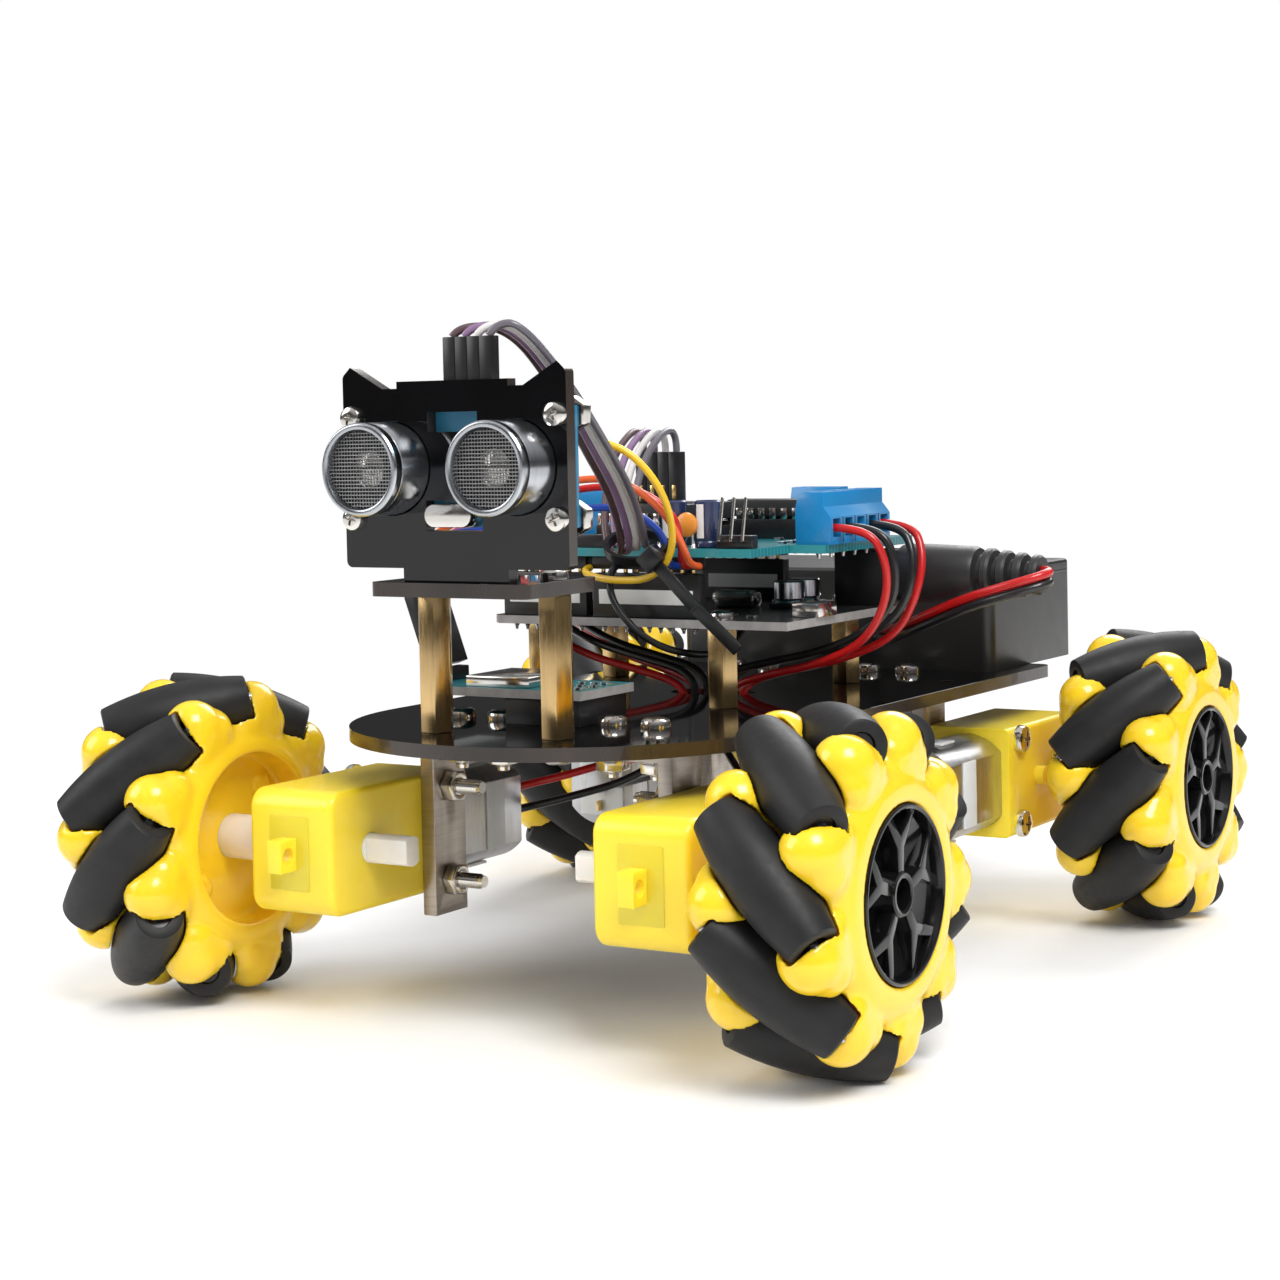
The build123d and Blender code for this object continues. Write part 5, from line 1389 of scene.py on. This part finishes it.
# ---- floor, light and camera ----
def studio():
    """A pale floor that fades into a white surround, under three soft lights."""
    floor_mesh = bpy.data.meshes.new("studio_floor")
    size = 6.0
    corners = [(-size, -size, 0), (size, -size, 0), (size, size, 0), (-size, size, 0)]
    floor_mesh.from_pydata(corners, [], [(0, 1, 2, 3)])
    floor = bpy.data.objects.new("studio_floor", floor_mesh)
    bpy.context.scene.collection.objects.link(floor)
    floor_mesh.materials.append(floor_white())
    bpy.context.scene.world = white_surround()
    soft_light("key", (0.5, -0.4, 0.8), 0.45, 8)
    soft_light("fill", (-0.75, -0.55, 0.55), 0.6, 4)
    soft_light("back", (-0.1, 0.8, 0.7), 0.6, 6)


def floor_white():
    """Matt white near the robot, growing into an even white glow further out."""
    material = surface("studio_white", (0.88, 0.88, 0.88), 0.7, vary=0.01, bump=0.0)
    tree = material.node_tree
    shader = tree.nodes["Principled BSDF"]
    place_in = tree.nodes.new("ShaderNodeTexCoord")
    distance = tree.nodes.new("ShaderNodeVectorMath")
    distance.operation = "LENGTH"
    fade = tree.nodes.new("ShaderNodeMapRange")
    fade.inputs["From Min"].default_value = 0.16
    fade.inputs["From Max"].default_value = 0.5
    glow = tree.nodes.new("ShaderNodeEmission")
    glow.inputs["Strength"].default_value = 1.0
    mix = tree.nodes.new("ShaderNodeMixShader")
    link(tree, place_in.outputs["Object"], distance.inputs[0])
    link(tree, distance.outputs["Value"], fade.inputs["Value"])
    link(tree, fade.outputs["Result"], mix.inputs["Fac"])
    link(tree, shader.outputs["BSDF"], mix.inputs[1])
    link(tree, glow.outputs["Emission"], mix.inputs[2])
    link(tree, mix.outputs["Shader"], tree.nodes["Material Output"].inputs["Surface"])
    return material


def white_surround():
    """A white backdrop whose light is softer on the robot than it looks to the camera."""
    world = bpy.data.worlds.new("studio")
    world.use_nodes = True
    tree = world.node_tree
    seen = tree.nodes["Background"]
    seen.inputs["Color"].default_value = (1, 1, 1, 1)
    seen.inputs["Strength"].default_value = 1.0
    lit = tree.nodes.new("ShaderNodeBackground")
    lit.inputs["Color"].default_value = (1, 1, 1, 1)
    lit.inputs["Strength"].default_value = 0.62
    mirrored = tree.nodes.new("ShaderNodeBackground")
    mirrored.inputs["Strength"].default_value = 1.0
    height = tree.nodes.new("ShaderNodeSeparateXYZ")
    rays = tree.nodes.new("ShaderNodeLightPath")
    place_in = tree.nodes.new("ShaderNodeTexCoord")
    link(tree, place_in.outputs["Generated"], height.inputs["Vector"])
    sky = ramp_node(tree, height.outputs["Z"], 0.15, 0.85, (0.05, 0.05, 0.05, 1), (0.7, 0.7, 0.7, 1))
    link(tree, sky.outputs["Color"], mirrored.inputs["Color"])
    soft = tree.nodes.new("ShaderNodeMixShader")
    link(tree, rays.outputs["Is Glossy Ray"], soft.inputs["Fac"])
    link(tree, lit.outputs["Background"], soft.inputs[1])
    link(tree, mirrored.outputs["Background"], soft.inputs[2])
    both = tree.nodes.new("ShaderNodeMixShader")
    link(tree, rays.outputs["Is Camera Ray"], both.inputs["Fac"])
    link(tree, soft.outputs["Shader"], both.inputs[1])
    link(tree, seen.outputs["Background"], both.inputs[2])
    link(tree, both.outputs["Shader"], tree.nodes["World Output"].inputs["Surface"])
    return world


def soft_light(name, place_at, size, watts):
    """A square light aimed at the robot."""
    lamp = bpy.data.lights.new(name, "AREA")
    lamp.size = size
    lamp.energy = watts
    made = bpy.data.objects.new(name, lamp)
    made.location = place_at
    made.rotation_euler = (Vector((0, 0, 0.05)) - Vector(place_at)).to_track_quat("-Z", "Y").to_euler()
    bpy.context.scene.collection.objects.link(made)


def camera():
    """The camera, low in front of the robot and to its left."""
    yaw, pitch, roll = radians(31.97), radians(2.43), radians(-1.25)
    back = Vector((sin(yaw) * cos(pitch), -cos(yaw) * cos(pitch), sin(pitch)))
    level = Vector((cos(yaw), sin(yaw), 0))
    above = back.cross(level)
    right = level * cos(roll) + above * sin(roll)
    up = above * cos(roll) - level * sin(roll)
    lens = bpy.data.cameras.new("camera")
    lens.sensor_width = 36
    lens.lens = 72.19
    lens.shift_x = 0.0144
    lens.shift_y = -0.0889
    lens.clip_start = 0.02
    made = bpy.data.objects.new("camera", lens)
    turn = Matrix((right, up, back)).transposed().to_4x4()
    made.matrix_world = Matrix.Translation((0.25576, -0.43735, 0.10654)) @ turn
    bpy.context.scene.collection.objects.link(made)
    bpy.context.scene.camera = made


camera()
wiring()
cable_tie()
wheels()
gearboxes()
motors()
brackets()
plates()
standoffs()
fasteners()
controller()
driver_shield()
terminals()
transducers()
sonar()
wireless()
battery()
plug()
studio()
bpy.context.scene.view_settings.view_transform = "Standard"
